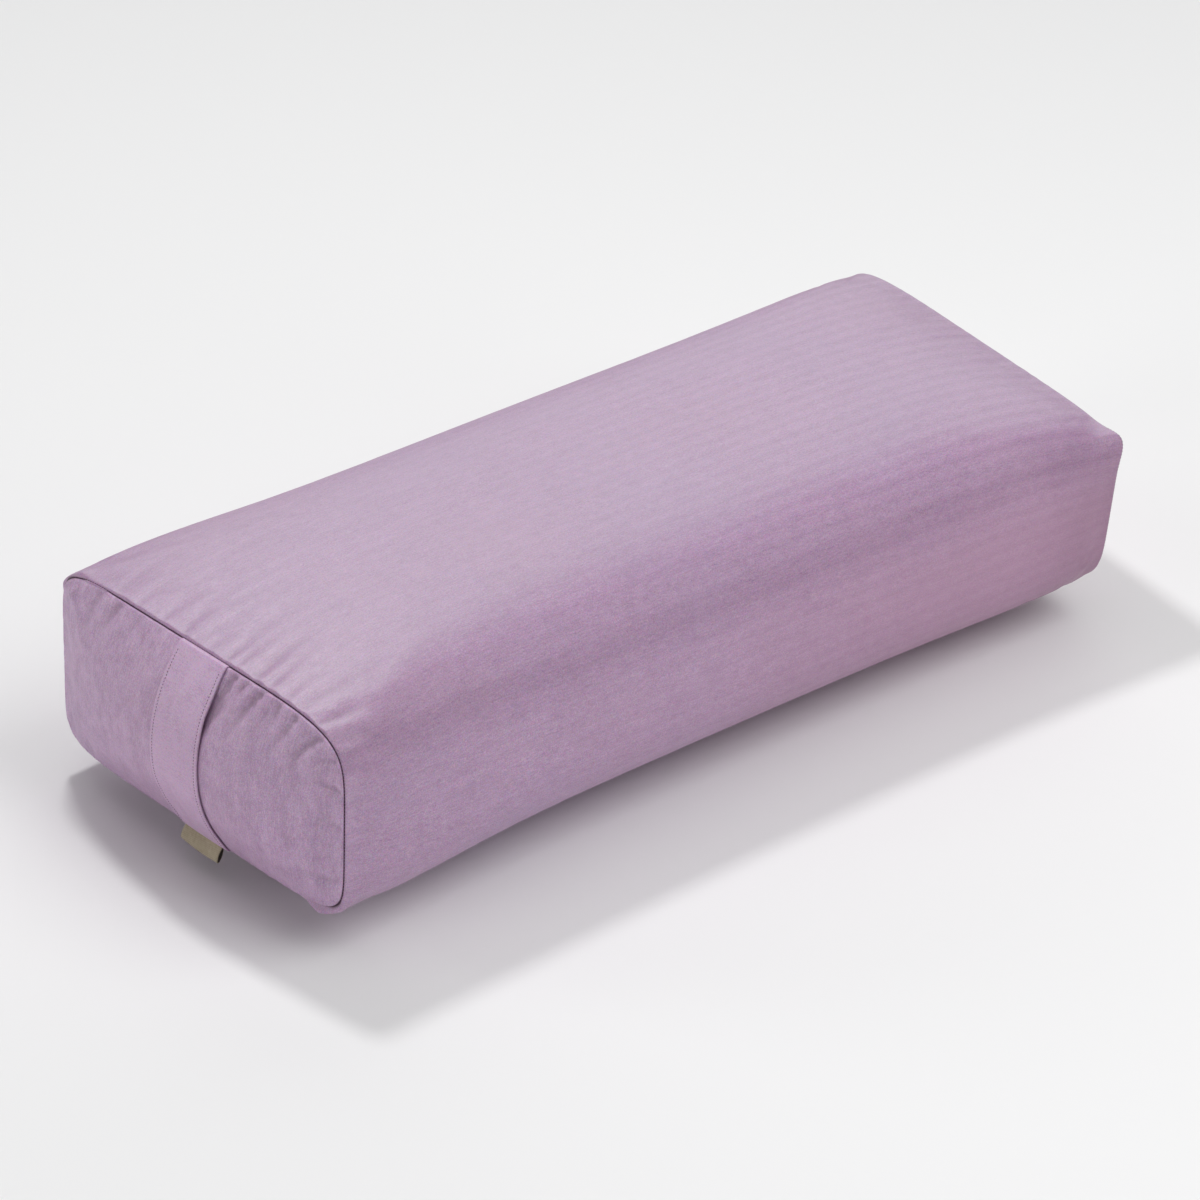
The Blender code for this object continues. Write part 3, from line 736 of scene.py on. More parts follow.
# %% [markdown]
# ## From grids to cloth pieces
#
# The simulated grid is coarse, about 4 mm. Before it becomes a piece it is read again on a finer
# grid with a cubic curve through the points, with extra rows close to the seams. There both panels
# dive into the seam: a soft V two millimetres deep, which is what makes a sewn edge read as sewn.

# %% Finer grids and the seam's groove
GROOVE_DEPTH = 0.0018
GROOVE_WIDTH = 0.00062
RIM_HEIGHT = 0.00035
RIM_AT = 0.0022
RIM_WIDTH = 0.0010
# how wide the painted shade beside a seam reaches
CREVICE_WIDTH = 0.00048
TURNED_IN = 0.004
COVER_WALL = 0.0009
CELL = 2 * SEAM_X / ALONG
print("grid cell, mm:", round(CELL * 1000, 2))


def resample(points, places, wraps=False):
    """Read a row of points at fractional places along its first axis with a cubic curve."""
    whole = np.floor(places).astype(int)
    part = (places - whole).reshape(-1, *([1] * (points.ndim - 1)))
    index = whole + np.array([[-1], [0], [1], [2]])
    index = index % len(points) if wraps else np.clip(index, 0, len(points) - 1)
    a, b, c, d = points[index]
    return b + 0.5 * part * (c - a + part * (2 * a - 5 * b + 4 * c - d + part * (3 * (b - c) + d - a)))


def dip(distance, depth, width):
    return depth * np.exp(-((distance / width) ** 1.4))


def groove(distance):
    """How far a panel lies below its own surface at a distance from its seam."""
    rim = RIM_HEIGHT * bell(distance - RIM_AT, RIM_WIDTH)
    return dip(distance, GROOVE_DEPTH, GROOVE_WIDTH) - rim * smooth(distance, 0.0008, 0.0016)


def add_piece(name, points, faces, material, flat=None, corners=None, crevice=None, wall=0.0):
    """A smooth mesh, with a flat cloth map for its points or corners, crevice shade and an inward wall."""
    mesh = bpy.data.meshes.new(name)
    faces = faces.tolist() if isinstance(faces, np.ndarray) else faces
    mesh.from_pydata(points.tolist(), [], faces)
    if flat is not None:
        corners = np.concatenate([flat[face] for face in faces])
    if corners is not None:
        mesh.uv_layers.new(name="cloth").uv.foreach_set("vector", corners.astype(np.float32).ravel())
    if crevice is not None:
        shade = mesh.attributes.new("crevice", "FLOAT", "POINT")
        shade.data.foreach_set("value", crevice.astype(np.float32).ravel())
    mesh.materials.append(material)
    mesh.shade_smooth()
    piece = bpy.data.objects.new(name, mesh)
    scene.collection.objects.link(piece)
    if wall:
        step = piece.modifiers.new("wall", "SOLIDIFY")
        step.thickness = wall
        step.offset = -1.0
        step.use_even_offset = False
    return piece


def settle(piece, slot, *nodes, body="bolster", fill=None):
    """Let a piece ride on a body and hide the nodes of the model that it stands for; slot and fill are not
    used.
    """
    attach(piece, body)
    if nodes:
        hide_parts(*nodes)

# %% [markdown]
# ## The wrap panel
#
# This panel is one rectangle of cloth, closed to a tube. Its rear side has a long slot for the zip,
# so two columns of the grid are led exactly along the slot's edges and the faces between them are
# left out. The cloth is folded under along the slot, which makes the edge slightly thick.

# %% Wrap panel
FIRST_ROWS = [0.0, 0.00025, 0.0005, 0.0008, 0.0012, 0.0017, 0.0023, 0.0031, 0.0042, 0.0056]
FINE_UNTIL = 0.042
FINE_STEP = 0.0021
COARSE_STEP = 0.0040
MIDDLE_ROWS = 78
EDGE_STEPS = (0.12, 0.30, 0.55, 0.85)
LOW_COLUMN = 14
HIGH_COLUMN = 17


def nearest(values, value):
    return int(np.argmin(np.abs(values - value)))


fine_rows = list(FIRST_ROWS)
while fine_rows[-1] < FINE_UNTIL:
    fine_rows.append(fine_rows[-1] + FINE_STEP)
reach = SEAM_X - SLOT_X
coarse_rows = np.linspace(fine_rows[-1], reach, round((reach - fine_rows[-1]) / COARSE_STEP) + 1)
end_distances = np.concatenate([fine_rows[:-1], coarse_rows])
middle_rows = np.linspace(-SLOT_X, SLOT_X, MIDDLE_ROWS)[1:-1]
row_x = np.concatenate([-SEAM_X + end_distances, middle_rows, SEAM_X - end_distances[::-1]])
first_row, last_row = (nearest(row_x, x) for x in (-SLOT_X, SLOT_X))

nearby = np.array([LOW_COLUMN - step for step in EDGE_STEPS] + [HIGH_COLUMN + step for step in EDGE_STEPS])
half_steps = np.arange(0, ROUND, 0.5)
inside_slot = (half_steps > LOW_COLUMN) & (half_steps < HIGH_COLUMN)
crowded = np.abs(nearby[:, None] - half_steps).min(0) < 0.2
column_places = np.unique(np.concatenate([half_steps[~crowded | inside_slot], nearby]))
low_edge, high_edge = (nearest(column_places, column) for column in (LOW_COLUMN, HIGH_COLUMN))


def wrap_grid():
    """The fine grid of the wrap panel, with two of its columns along the zip's slot."""
    grid = []
    for row in resample(wrap_form + wrap_folds, (row_x + SEAM_X) / CELL):
        slot = np.interp((SLOT_LOW, SLOT_HIGH), row[: DOWN + 1, 2], np.arange(DOWN + 1))
        places = np.interp(column_places, [0, LOW_COLUMN, HIGH_COLUMN, DOWN, ROUND], [0, *slot, DOWN, ROUND])
        grid.append(resample(row, places, wraps=True))
    return np.stack(grid)


wrap = wrap_grid()
wrap_normals = grid_normals(wrap, closed=True)
print("wrap grid:", wrap.shape, "slot rows", first_row, last_row, "slot columns", low_edge, high_edge)

# %% [markdown]
# ## The end panels
#
# Each end panel is a separate oblong with a crown. Its grid is refined along all four sides, and the
# points near the seam take the same groove as the wrap panel, so that the two meet at its bottom.

# %% End panels and the seam between the panels
FINE_EDGE = np.array([0.0, 0.06, 0.12, 0.20, 0.30, 0.42, 0.58, 0.78, 1.05, 1.4])
CLOSE_POINTS = 24
ROWS_BESIDE_SEAM = 8


def edge_places(count):
    """Fractional places over a number of cells, crowded at both ends."""
    return np.concatenate([FINE_EDGE, np.arange(2.0, count - 1.5, 0.5), count - FINE_EDGE[::-1]])


def fine_end(form):
    rows = resample(form, edge_places(DOWN))
    return resample(rows.transpose(1, 0, 2), edge_places(ACROSS)).transpose(1, 0, 2)


def corner_of(seam, rearward, upward):
    """The seam point that reaches furthest into a corner."""
    return int(np.argmax(rearward * seam[:, 1] + upward * seam[:, 2]))


def arc_along(seam):
    """Metres along a seam from its rear top corner, over the top to the front, and the whole length."""
    steps = lengths(np.roll(seam, -1, axis=0) - seam)
    arc = np.concatenate([[0], steps.cumsum()[:-1]])
    around = steps.sum()
    return (arc - arc[corner_of(seam, 1, 1)]) % around, around


def nearest_on_seam(points, seam):
    """Distance of each point from the seam and the seam point that it is next to."""
    best = np.full(len(points), 1e9)
    which = np.zeros(len(points), int)
    for index, (start, run) in enumerate(zip(seam, np.roll(seam, -1, axis=0) - seam)):
        share = np.clip(((points - start) @ run) / (run @ run + 1e-12), 0, 1)
        gap = lengths(points - start - share[:, None] * run)
        closer = gap < best
        best[closer] = gap[closer]
        which[closer] = index
    return best, which


def gather_end(form, turn, row):
    """A fine end panel, and its seam with the inward direction halfway between both panels."""
    panel = fine_end(form)
    normals = grid_normals(panel) * turn
    seam = wrap[row].copy()
    picked = []
    for point in seam:
        close = np.argsort(lengths(panel.reshape(-1, 3) - point))[:CLOSE_POINTS]
        picked.append(normals.reshape(-1, 3)[close].mean(0))
    inward = -unit(wrap_normals[row + turn * ROWS_BESIDE_SEAM] + np.array(picked))
    arc, around = arc_along(seam)
    return SimpleNamespace(
        panel=panel, normals=normals, turn=turn, seam=seam, inward=inward, arc=arc, around=around
    )


near = gather_end(near_form + near_folds, 1, 0)
far = gather_end(far_form + far_folds, -1, -1)
print("end grids:", near.panel.shape, "seams, m:", round(near.around, 3), round(far.around, 3))

# %% [markdown]
# ## Puckers, corners and the groove
#
# A sewing machine feeds the lower cloth a little faster than the upper one, so every seam shows small
# puckers that stand square to it and die out within two or three centimetres. Each is a valley with a
# low ridge beside it. The ones that show most are listed, as metres along the seam from the rear top
# corner, with their length, slant, depth and width, and the rest are drawn by lot. The valleys take a
# little painted shade in the crevice colour. Beside the rear top corner the seam is pressed shut and
# its painted shade is weaker, at two corners the painted shade in its groove widens to a small dark
# wedge, and the far end's seam, with a shallower groove and weaker painted shade, hardly shows. Last,
# soft pushes pinch the near corners and fold the spare cloth of the far one into an ear.

# %% Puckers and ears
NEAR_TOP_PUCKERS = (
    (0.044, 0.036, -0.10, 0.00056, 0.0035),
    (0.062, 0.028, -0.20, 0.00037, 0.0024),
    (0.084, 0.031, -0.25, 0.00044, 0.0028),
    (0.103, 0.042, -0.30, 0.00056, 0.0026),
    (0.124, 0.025, -0.20, 0.00035, 0.0022),
    (0.140, 0.048, -0.15, 0.00069, 0.0026),
    (0.148, 0.042, -0.12, 0.00056, 0.0022),
    (0.165, 0.045, -0.15, 0.00075, 0.0028),
    (0.177, 0.050, -0.20, 0.00069, 0.0026),
    (0.190, 0.034, -0.05, 0.00050, 0.0022),
    (0.203, 0.042, 0.15, 0.00075, 0.0028),
    (0.219, 0.039, 0.20, 0.00081, 0.0026),
    (0.233, 0.034, 0.25, 0.00063, 0.0022),
    (0.247, 0.031, 0.20, 0.00056, 0.0022),
    (0.266, 0.028, 0.10, 0.00044, 0.0024),
)
NEAR_END_PUCKERS = (
    (0.034, 0.030, -0.35, 0.00111, 0.0032),
    (0.052, 0.038, -0.45, 0.00135, 0.0036),
    (0.071, 0.026, -0.40, 0.00087, 0.0028),
    (0.088, 0.022, -0.30, 0.00074, 0.0024),
    (0.153, 0.034, -0.32, 0.00209, 0.0026),
    (0.163, 0.040, -0.50, 0.00198, 0.0028),
    (0.176, 0.042, -0.46, 0.00186, 0.0030),
    (0.190, 0.020, -0.10, 0.00123, 0.0022),
    (0.205, 0.030, -0.32, 0.00148, 0.0026),
    (0.226, 0.036, -0.50, 0.00160, 0.0030),
    (0.243, 0.020, -0.40, 0.00111, 0.0022),
    (0.262, 0.024, -0.20, 0.00123, 0.0026),
    (0.284, 0.018, -0.20, 0.00087, 0.0022),
    (0.318, 0.022, 0.30, 0.00099, 0.0026),
)
PUCKER_SPACING = 0.011
SMALL_PUCKER = 0.00042
# painted shade: the share of crevice colour at the bottom of a pucker's valley
VALLEY_SHADE = 0.42
VALLEY_DEPTH = 0.0012
REAR_WEDGE = 0.0048
FRONT_WEDGE = 0.0100
FAR_GROOVE = 0.8
FAR_SEAM_SHADE = 0.35
EAR_RADIUS = 0.0110
EAR_PUSH = (0.0028, -0.0032, 0.0044)
chance = np.random.default_rng(7)


def small_puckers(around, start=0.0):
    """Puckers drawn by lot all along a seam, and those of them kept that lie beyond a start."""
    found = []
    for number in range(int(around / PUCKER_SPACING)):
        place = (number + chance.uniform(0, 1)) * PUCKER_SPACING
        length = chance.uniform(0.008, 0.026)
        tilt = chance.uniform(-0.4, 0.4)
        depth = SMALL_PUCKER * chance.uniform(0.2, 1.0) ** 1.5
        found.append((place, length, tilt, depth, chance.uniform(0.0014, 0.0028)))
    return tuple(row for row in found if row[0] > start)


def beside(arc, place, around):
    """How far each place along a seam lies beside another, the shorter way round."""
    return (arc - place + around / 2) % around - around / 2


def pucker_height(gap, arc, around, puckers):
    """How far cloth stands up at a distance from the seam and a place along it."""
    height = np.zeros(np.broadcast(gap, arc).shape)
    for place, length, tilt, depth, width in puckers:
        aside = beside(arc, place + tilt * gap, around)
        wide = width * (1 + 1.2 * gap / length)
        form = 0.7 * bell(aside - 1.7 * wide, 1.2 * wide) - bell(aside, wide)
        height = height + depth * smooth(gap, 0.0004, 0.004) * bell(gap, length) * form
    return height


def valley_shade(height):
    return VALLEY_SHADE * np.clip(-height / VALLEY_DEPTH, 0, 1)


def pushed(grid, centre, radius, push, share=1.0):
    """Move the points round a place by a push that fades over a radius."""
    return grid + (bell(lengths(grid - centre), radius) * share)[..., None] * np.array(push)


_, seam_y, seam_z = near.seam.T
rear_top, front_low = corner_of(near.seam, 1, 1), corner_of(near.seam, -1, -1)
shut = smooth(seam_y, 0.078, 0.088) * (1 - smooth(seam_y, 0.103, 0.110)) * (seam_z > 0.1)
# painted shade along the near seam: weaker where it is pressed shut and along the front side, darker and
# wider in the two corner wedges; the far seam takes less
wedge = bell(beside(near.arc, near.arc[rear_top], near.around), REAR_WEDGE)
wedge = wedge + 0.8 * bell(beside(near.arc, near.arc[front_low], near.around), FRONT_WEDGE)
front = smooth(-seam_y, 0.110, 0.120) * (seam_z > 0.04)
near.depth = 1 - 0.7 * shut
near.dark = np.maximum((1 - 0.85 * shut) * (1 - 0.45 * front), wedge)
near.crevice = CREVICE_WIDTH * (1 + 2.4 * wedge)
far.depth = np.full(len(far.seam), FAR_GROOVE)
far.dark = np.full(len(far.seam), FAR_SEAM_SHADE)
far.crevice = np.full(len(far.seam), CREVICE_WIDTH)
near.wrap_puckers = NEAR_TOP_PUCKERS + small_puckers(near.around, 0.27)
near.end_puckers = NEAR_END_PUCKERS + small_puckers(near.around, 0.30)
far.wrap_puckers = small_puckers(far.around)
far.end_puckers = small_puckers(far.around)

wrap_valleys = np.zeros(wrap.shape[:2])
for end in (near, far):
    for step, distance in enumerate(end_distances):
        row = step if end is near else -1 - step
        height = pucker_height(distance, end.arc, end.around, end.wrap_puckers)
        wrap[row] += wrap_normals[row] * height[:, None]
        wrap[row] += end.inward * (groove(distance) * end.depth)[:, None]
        wrap_valleys[row] = valley_shade(height)
    points = end.panel.reshape(-1, 3)
    end.gap, end.which = nearest_on_seam(points, end.seam)
    height = pucker_height(end.gap, end.arc[end.which], end.around, end.end_puckers)
    points = points + end.normals.reshape(-1, 3) * height[:, None]
    points = points + end.inward[end.which] * (groove(end.gap) * end.depth[end.which])[:, None]
    end.panel = points.reshape(end.panel.shape)
    end.valleys = valley_shade(height)

row_distance = np.full(len(wrap), 1.0)
row_distance[: len(end_distances)] = end_distances
off_seam = smooth(row_distance, 0.0005, 0.0040)[:, None]
for corner, offset, radius, push in (
    (front_low, (0.0050, 0.014, -0.002), 0.0130, (-0.0056, 0.0, -0.0040)),
    (front_low, (0.0060, 0.001, -0.001), 0.0080, (-0.0016, -0.0010, -0.0012)),
    (rear_top, (0.0045, -0.009, 0.002), 0.0070, (-0.0022, 0.0002, 0.0016)),
    (rear_top, (0.0045, 0.002, -0.007), 0.0075, (-0.0030, 0.0022, 0.0002)),
):
    wrap = pushed(wrap, near.seam[corner] + offset, radius, push, off_seam)
pinch = near.seam[rear_top] + (-0.001, -0.007, -0.006)
near.panel = pushed(near.panel, pinch, 0.0050, (-0.0022, 0.0, 0.0016))
ear = far.seam[corner_of(far.seam, -1, 1)]
wrap = pushed(wrap, ear, EAR_RADIUS, EAR_PUSH)
far.panel = pushed(far.panel, ear, EAR_RADIUS, EAR_PUSH)
print("puckers:", [len(row) for end in (near, far) for row in (end.wrap_puckers, end.end_puckers)])

# %% [markdown]
# ## Sewing the panels up
#
# Now the grids become pieces. The wrap panel gets one more row at each end, turned in behind the
# seam. The zip's tape is sewn to the cover, so the cloth dips to it round the slot and rolls inward
# along the slot's folded edge. The crevice value paints shade into the colour at the bottom of the
# groove, where hardly any light arrives.

# %% Wrap and end pieces
tape_low, tape_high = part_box("zip_tape_upper")
DIP_FLAT = 0.006
DIP_REACH = 0.020
HEM_LIFT = 0.0005
HEM_WIDTH = 0.0040
HEM_TUCK = 0.0007
COVER_FILL = 0.85

x, y, z = np.moveaxis(wrap, -1, 0)
off_slot = np.maximum(np.abs(z - SLOT_MIDDLE) - (SLOT_HIGH - SLOT_LOW) / 2, 0)
off_slot = np.hypot(off_slot, np.maximum(np.abs(x) - SLOT_X, 0))
sunk = np.minimum(y, tape_high.y + COVER_WALL + 0.0001)
wrap[..., 1] = mix(y, sunk, (1 - smooth(off_slot, DIP_FLAT, DIP_REACH)) * (y > REAR_SIDE))
slot_rows = slice(first_row, last_row + 1)
for edge, step in ((low_edge, -1), (high_edge, 1)):
    for offset, place in enumerate((0, *EDGE_STEPS)):
        lift = HEM_LIFT * (1 - smooth(place * CELL, HEM_WIDTH * 0.6, HEM_WIDTH)) if offset else -HEM_TUCK
        wrap[slot_rows, edge + step * offset] += wrap_normals[slot_rows, edge + step * offset] * lift


def build_wrap():
    turned = [wrap[row] + end.inward * TURNED_IN for end, row in ((near, 0), (far, -1))]
    grid = np.concatenate([turned[:1], wrap, turned[1:]])
    faces = grid_faces(*grid.shape[:2], closed=True)
    tube = np.concatenate([grid, grid[:, :1]], 1)
    along = lengths(np.diff(grid, axis=0, prepend=grid[:1])).mean(1).cumsum()
    around = lengths(np.diff(tube, axis=1, prepend=tube[:, :1])).cumsum(1).mean(0)
    corners = cells(np.stack(np.meshgrid(along, around, indexing="ij"), -1))
    kept = np.ones(faces.shape[:2], bool)
    kept[first_row + 1 : last_row + 1, low_edge:high_edge] = False
    # painted shade in the crevice value: pucker valleys and the bottom of both seams
    crevice = np.pad(wrap_valleys, ((1, 1), (0, 0)))
    distances = np.concatenate([[0.0], end_distances])[:, None]
    near_shade, far_shade = (bell(distances, end.crevice) * end.dark for end in (near, far))
    crevice[: len(distances)] = np.maximum(crevice[: len(distances)], near_shade)
    crevice[-len(distances) :] = far_shade[::-1]
    used, numbers = np.unique(faces[kept], return_inverse=True)
    return add_piece(
        "wrap_cloth",
        grid.reshape(-1, 3)[used],
        numbers.reshape(-1, 4),
        COTTON,
        corners=corners[kept],
        crevice=crevice.ravel()[used],
        wall=COVER_WALL,
    )


def build_end(name, end):
    faces = grid_faces(*end.panel.shape[:2]).reshape(-1, 4)[:, :: end.turn]
    flat = end.panel[..., [2, 1]].reshape(-1, 2)
    # painted shade at the seam and in the pucker valleys
    crevice = np.maximum(bell(end.gap, end.crevice[end.which]) * end.dark[end.which], end.valleys)
    points = end.panel.reshape(-1, 3)
    return add_piece(name, points, faces, END_COTTON, flat, crevice=crevice, wall=COVER_WALL)


settle(build_wrap(), "cover_cloth", "cover_wrap_panel", fill=COVER_FILL)
for side, end in (("handle_side", near), ("plain_side", far)):
    panel = build_end(f"end_cloth_{side}", end)
    settle(panel, "cover_cloth", f"cover_end_panel_{side}", fill=COVER_FILL)
print("cover: wrap_cloth and two end_cloth panels of", len(panel.data.polygons), "faces each")

# %% [markdown]
# ## Thread
#
# Every line of stitching is a row of short threads that come up, lie on the cloth and go down again.
# One helper makes such a row along any path: each stitch is a little tube with its ends sunk into
# the cloth, and the whole row is one mesh.

# %% Rows of stitches
STITCH_BEND = np.array([-0.9, 0.25, 0.7, 0.9, 0.7, 0.25, -0.9])
STITCH_SLIM = np.array([0.7, 0.95, 1.0, 1.0, 1.0, 0.95, 0.7])
SEAM_PITCH = 0.0021
SEAM_THREAD = 0.00021
SEAM_THREAD_LIFT = 0.0007
SLOT_PITCH = 0.0028
SLOT_THREAD = 0.00018
SLOT_STITCH_OUT = 3


def capped(grid, sides=1, caps=(1, -1)):
    """Points and faces of a closed grid with both ends capped; -1 turns the faces round."""
    rows, columns = grid.shape[:2]
    faces = grid_faces(rows, columns, closed=True).reshape(-1, 4)[:, ::sides].tolist()
    for start, turn in zip((0, (rows - 1) * columns), caps):
        faces.append(list(range(start, start + columns))[::turn])
    return grid.reshape(-1, 3), faces


def tube_along(path, radius, up, sides=6):
    """Points and faces of a round tube along a path, closed at both ends; radius may vary."""
    ahead = unit(np.gradient(path, axis=0))
    aside = unit(np.cross(ahead, up))
    above = np.cross(aside, ahead)
    turn = np.linspace(0, 2 * math.pi, sides, endpoint=False)[None, :, None]
    spokes = np.cos(turn) * aside[:, None] + np.sin(turn) * above[:, None]
    return capped(path[:, None] + spokes * np.broadcast_to(radius, len(path))[:, None, None])


def joined(parts):
    """Several (points, faces) pairs as one."""
    faces = []
    used = 0
    for part_points, part_faces in parts:
        faces.extend([used + index for index in face] for face in part_faces)
        used += len(part_points)
    return np.concatenate([part[0] for part in parts]), faces


def stitch_row(path, normals, pitch, thread, gap_share=0.24):
    """One row of stitches along a path that lies on a cloth with the given normals."""
    far_along = travelled(path)
    count = max(1, int(far_along[-1] / pitch))
    parts = []
    for number in range(count):
        start = (number + gap_share / 2) / count * far_along[-1]
        stop = (number + 1 - gap_share / 2) / count * far_along[-1]
        places = np.linspace(start, stop, len(STITCH_BEND))
        facing = unit(read_at(normals, far_along, places))
        spots = read_at(path, far_along, places) + facing * (thread * STITCH_BEND)[:, None]
        parts.append(tube_along(spots, thread * STITCH_SLIM, facing[3]))
    return joined(parts)


def ringed(path):
    return np.concatenate([path, path[:1]])


for side, end, row in (("handle_side", near, 0), ("plain_side", far, -1)):
    path = ringed(wrap[row] - end.inward * SEAM_THREAD_LIFT)
    stitches = stitch_row(path, ringed(-end.inward), SEAM_PITCH, SEAM_THREAD)
    settle(add_piece(f"seam_thread_{side}", *stitches, SHADED_THREAD), "cover_cloth")
low, high = low_edge - SLOT_STITCH_OUT, high_edge + SLOT_STITCH_OUT
ends = [(wrap[row] + wrap[row + out])[low : high + 1] / 2 for row, out in ((last_row, 1), (first_row, -1))]
path = ringed(np.concatenate([wrap[slot_rows, low], ends[0], wrap[slot_rows, high][::-1], ends[1][::-1]]))
facing = np.tile([0.0, 1.0, 0.0], (len(path), 1))
stitches = stitch_row(path + facing * 0.0001, facing, SLOT_PITCH, SLOT_THREAD)
settle(add_piece("slot_topstitch", *stitches, THREAD), "cover_cloth")
print("two seam threads and the slot's topstitch of", len(stitches[1]), "faces")

# %% [markdown]
# ## The carry handle
#
# The handle is a strip of the same cloth, folded to a flat band, edge-stitched along both sides and
# sewn into the end panel's seam at the top and the bottom. Between them it only lies on the panel,
# so a hand can lift it. It is laid over the panel's own grid, a little above it, and it leans a few
# millimetres to the rear on its way up. Two halves meet in the middle of its length, and each lies
# on the panel from its sewn end to the middle. The edge stitching stops three millimetres short of
# the seam, so that the label below can swing up without touching it.

# %% Handle halves
HANDLE_WIDTH = 0.0400
HANDLE_MIDDLE_Y = -0.0068
HANDLE_LEAN = 0.053
HANDLE_THICKNESS = 0.0012
HANDLE_GAP = 0.0003
SEWN_PLACES = [0.0, 0.12, 0.26, 0.42, 0.6, 0.82, 1.1, 1.45]
FREE_FROM = 9
EDGE_STITCH_IN = 0.0024
STITCH_DIP = 0.00028
DIP_WIDTH = 0.0006
PILLOW = 0.00035
STITCH_PITCH = 0.0019
STITCHES_START = 8
THREAD_RADIUS = 0.00021
# painted shade on the strip's side walls
WALL_SHADE = 0.35
RISE_FROM_SEAM = 0.0035

near_soft = near_form + near_folds
near_soft_normals = grid_normals(near_soft)


def on_near_end(place, y):
    """The point and the normal of the near end panel at a fractional row and a width position."""
    row, facing = (resample(grid, np.array([place]))[0] for grid in (near_soft, near_soft_normals))
    column = np.array([np.interp(-y, -row[:, 1], np.arange(len(row)))])
    return resample(row, column)[0], resample(facing, column)[0]


def strip_line(offset, places):
    """Points and normals on the panel along the handle's length, offset from its middle line."""
    found = []
    for place in places:
        height = on_near_end(place, HANDLE_MIDDLE_Y)[0][2]
        middle = HANDLE_MIDDLE_Y + HANDLE_LEAN * (height - TWIST_HEIGHT)
        found.append(on_near_end(place, middle + offset))
    return np.array(found).swapaxes(0, 1)


def seam_gap(places):
    """How far along the panel a fractional row is from the seam at the top or the bottom."""
    return np.minimum(places, DOWN - places) * (END_SEAM_HIGH - END_SEAM_LOW) / DOWN


def risen(places):
    return smooth(seam_gap(places), 0.0, RISE_FROM_SEAM)


def top_height(offset):
    """The strip's upper surface above its underside: pillowed between the two stitched lines."""
    edge = HANDLE_WIDTH / 2 - np.abs(offset)
    pillow = PILLOW * (1 - (offset / (HANDLE_WIDTH / 2)) ** 2)
    return HANDLE_THICKNESS + pillow - STITCH_DIP * bell(edge - EDGE_STITCH_IN, DIP_WIDTH)


def strip_section():
    """Offsets and heights round the strip's section, up one edge, across the top and back below."""
    half = HANDLE_WIDTH / 2
    wall = [(half, HANDLE_THICKNESS * 0.72), (half + 0.0001, HANDLE_THICKNESS * 0.45)]
    wall = wall + [(half - 0.0001, 0.0002)]
    across = [half * share for share in np.linspace(-0.93, 0.93, 25)]
    across = [-half + 0.0004, -half + 0.0009, *across, half - 0.0009, half - 0.0004]
    top = [(offset, top_height(offset)) for offset in across]
    under = [(offset, 0.0) for offset in np.linspace(half - 0.0008, -half + 0.0008, 9)]
    return np.array(top + wall + under + [(-offset, height) for offset, height in wall[::-1]])


def build_strip(name, places, turn):
    outline = strip_section()
    spots, facing = np.stack([strip_line(offset, places) for offset, _ in outline], 2)
    gap = seam_gap(places)[:, None]
    lift = HANDLE_GAP + outline[:, 1] * risen(places)[:, None]
    lift = lift - dip(gap, GROOVE_DEPTH + 0.0004, GROOVE_WIDTH * 1.15)
    points = spots + facing * lift[..., None]
    rows, columns = points.shape[:2]
    along = travelled(spots[:, 12])
    along = (along - along[-1]) * turn
    flat = np.stack(np.meshgrid(travelled(outline), along), -1)
    # painted shade: the crevice colour where the strip's ends dive into the seam, and on its side walls
    crevice = np.repeat(bell(gap, CREVICE_WIDTH), columns, 1)
    crevice[:, outline[:, 1] < HANDLE_THICKNESS * 0.8] = WALL_SHADE
    # the caps get rows of their own, so that the strip's ends stay sharp
    points, flat, crevice = (np.concatenate([grid, grid[:1], grid[-1:]]) for grid in (points, flat, crevice))
    faces = grid_faces(rows, columns, closed=True).reshape(-1, 4).tolist()
    faces.append(list(range(rows * columns, (rows + 1) * columns))[::-1])
    faces.append(list(range((rows + 1) * columns, (rows + 2) * columns)))
    faces = [face[::turn] for face in faces]
    return add_piece(name, points.reshape(-1, 3), faces, HANDLE_COTTON, flat.reshape(-1, 2), crevice=crevice)


def build_edge_stitches(name, places):
    rows = []
    for offset in (EDGE_STITCH_IN - HANDLE_WIDTH / 2, HANDLE_WIDTH / 2 - EDGE_STITCH_IN):
        spots, facing = strip_line(offset, places)
        height = HANDLE_GAP + top_height(offset) * risen(places)
        rows.append(stitch_row(spots + facing * height[:, None], facing, STITCH_PITCH, THREAD_RADIUS))
    return add_piece(name, *joined(rows), SHADED_THREAD)


up_places = np.concatenate([SEWN_PLACES, np.arange(2.0, DOWN / 2, 0.5), [DOWN / 2 - 0.05, DOWN / 2]])
grip = on_near_end(DOWN / 2, HANDLE_MIDDLE_Y)[0]
for name, places, turn, nodes in (
    ("handle_lower_half", up_places, 1, ("handle_lower_end",)),
    ("handle_upper_half", DOWN - up_places, -1, ("handle_upper_end", "handle_grip")),
):
    strip = build_strip(name, places, turn)
    sewn = on_near_end(places[FREE_FROM], HANDLE_MIDDLE_Y)[0]
    for piece in (strip, build_edge_stitches(name + "_stitches", places[STITCHES_START:])):
        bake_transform(piece)
    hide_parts(*nodes)
    print(name, len(strip.data.polygons), "faces")

# %% [markdown]
# ## The side label
#
# A short length of flax tape is folded in half and caught in the lower seam, beneath the handle. It
# stands out as a flat loop that bows a little, with its two layers slightly apart at the open side
# edges. It is left bare. The loop swings about the seam, as a thumb would flick it.

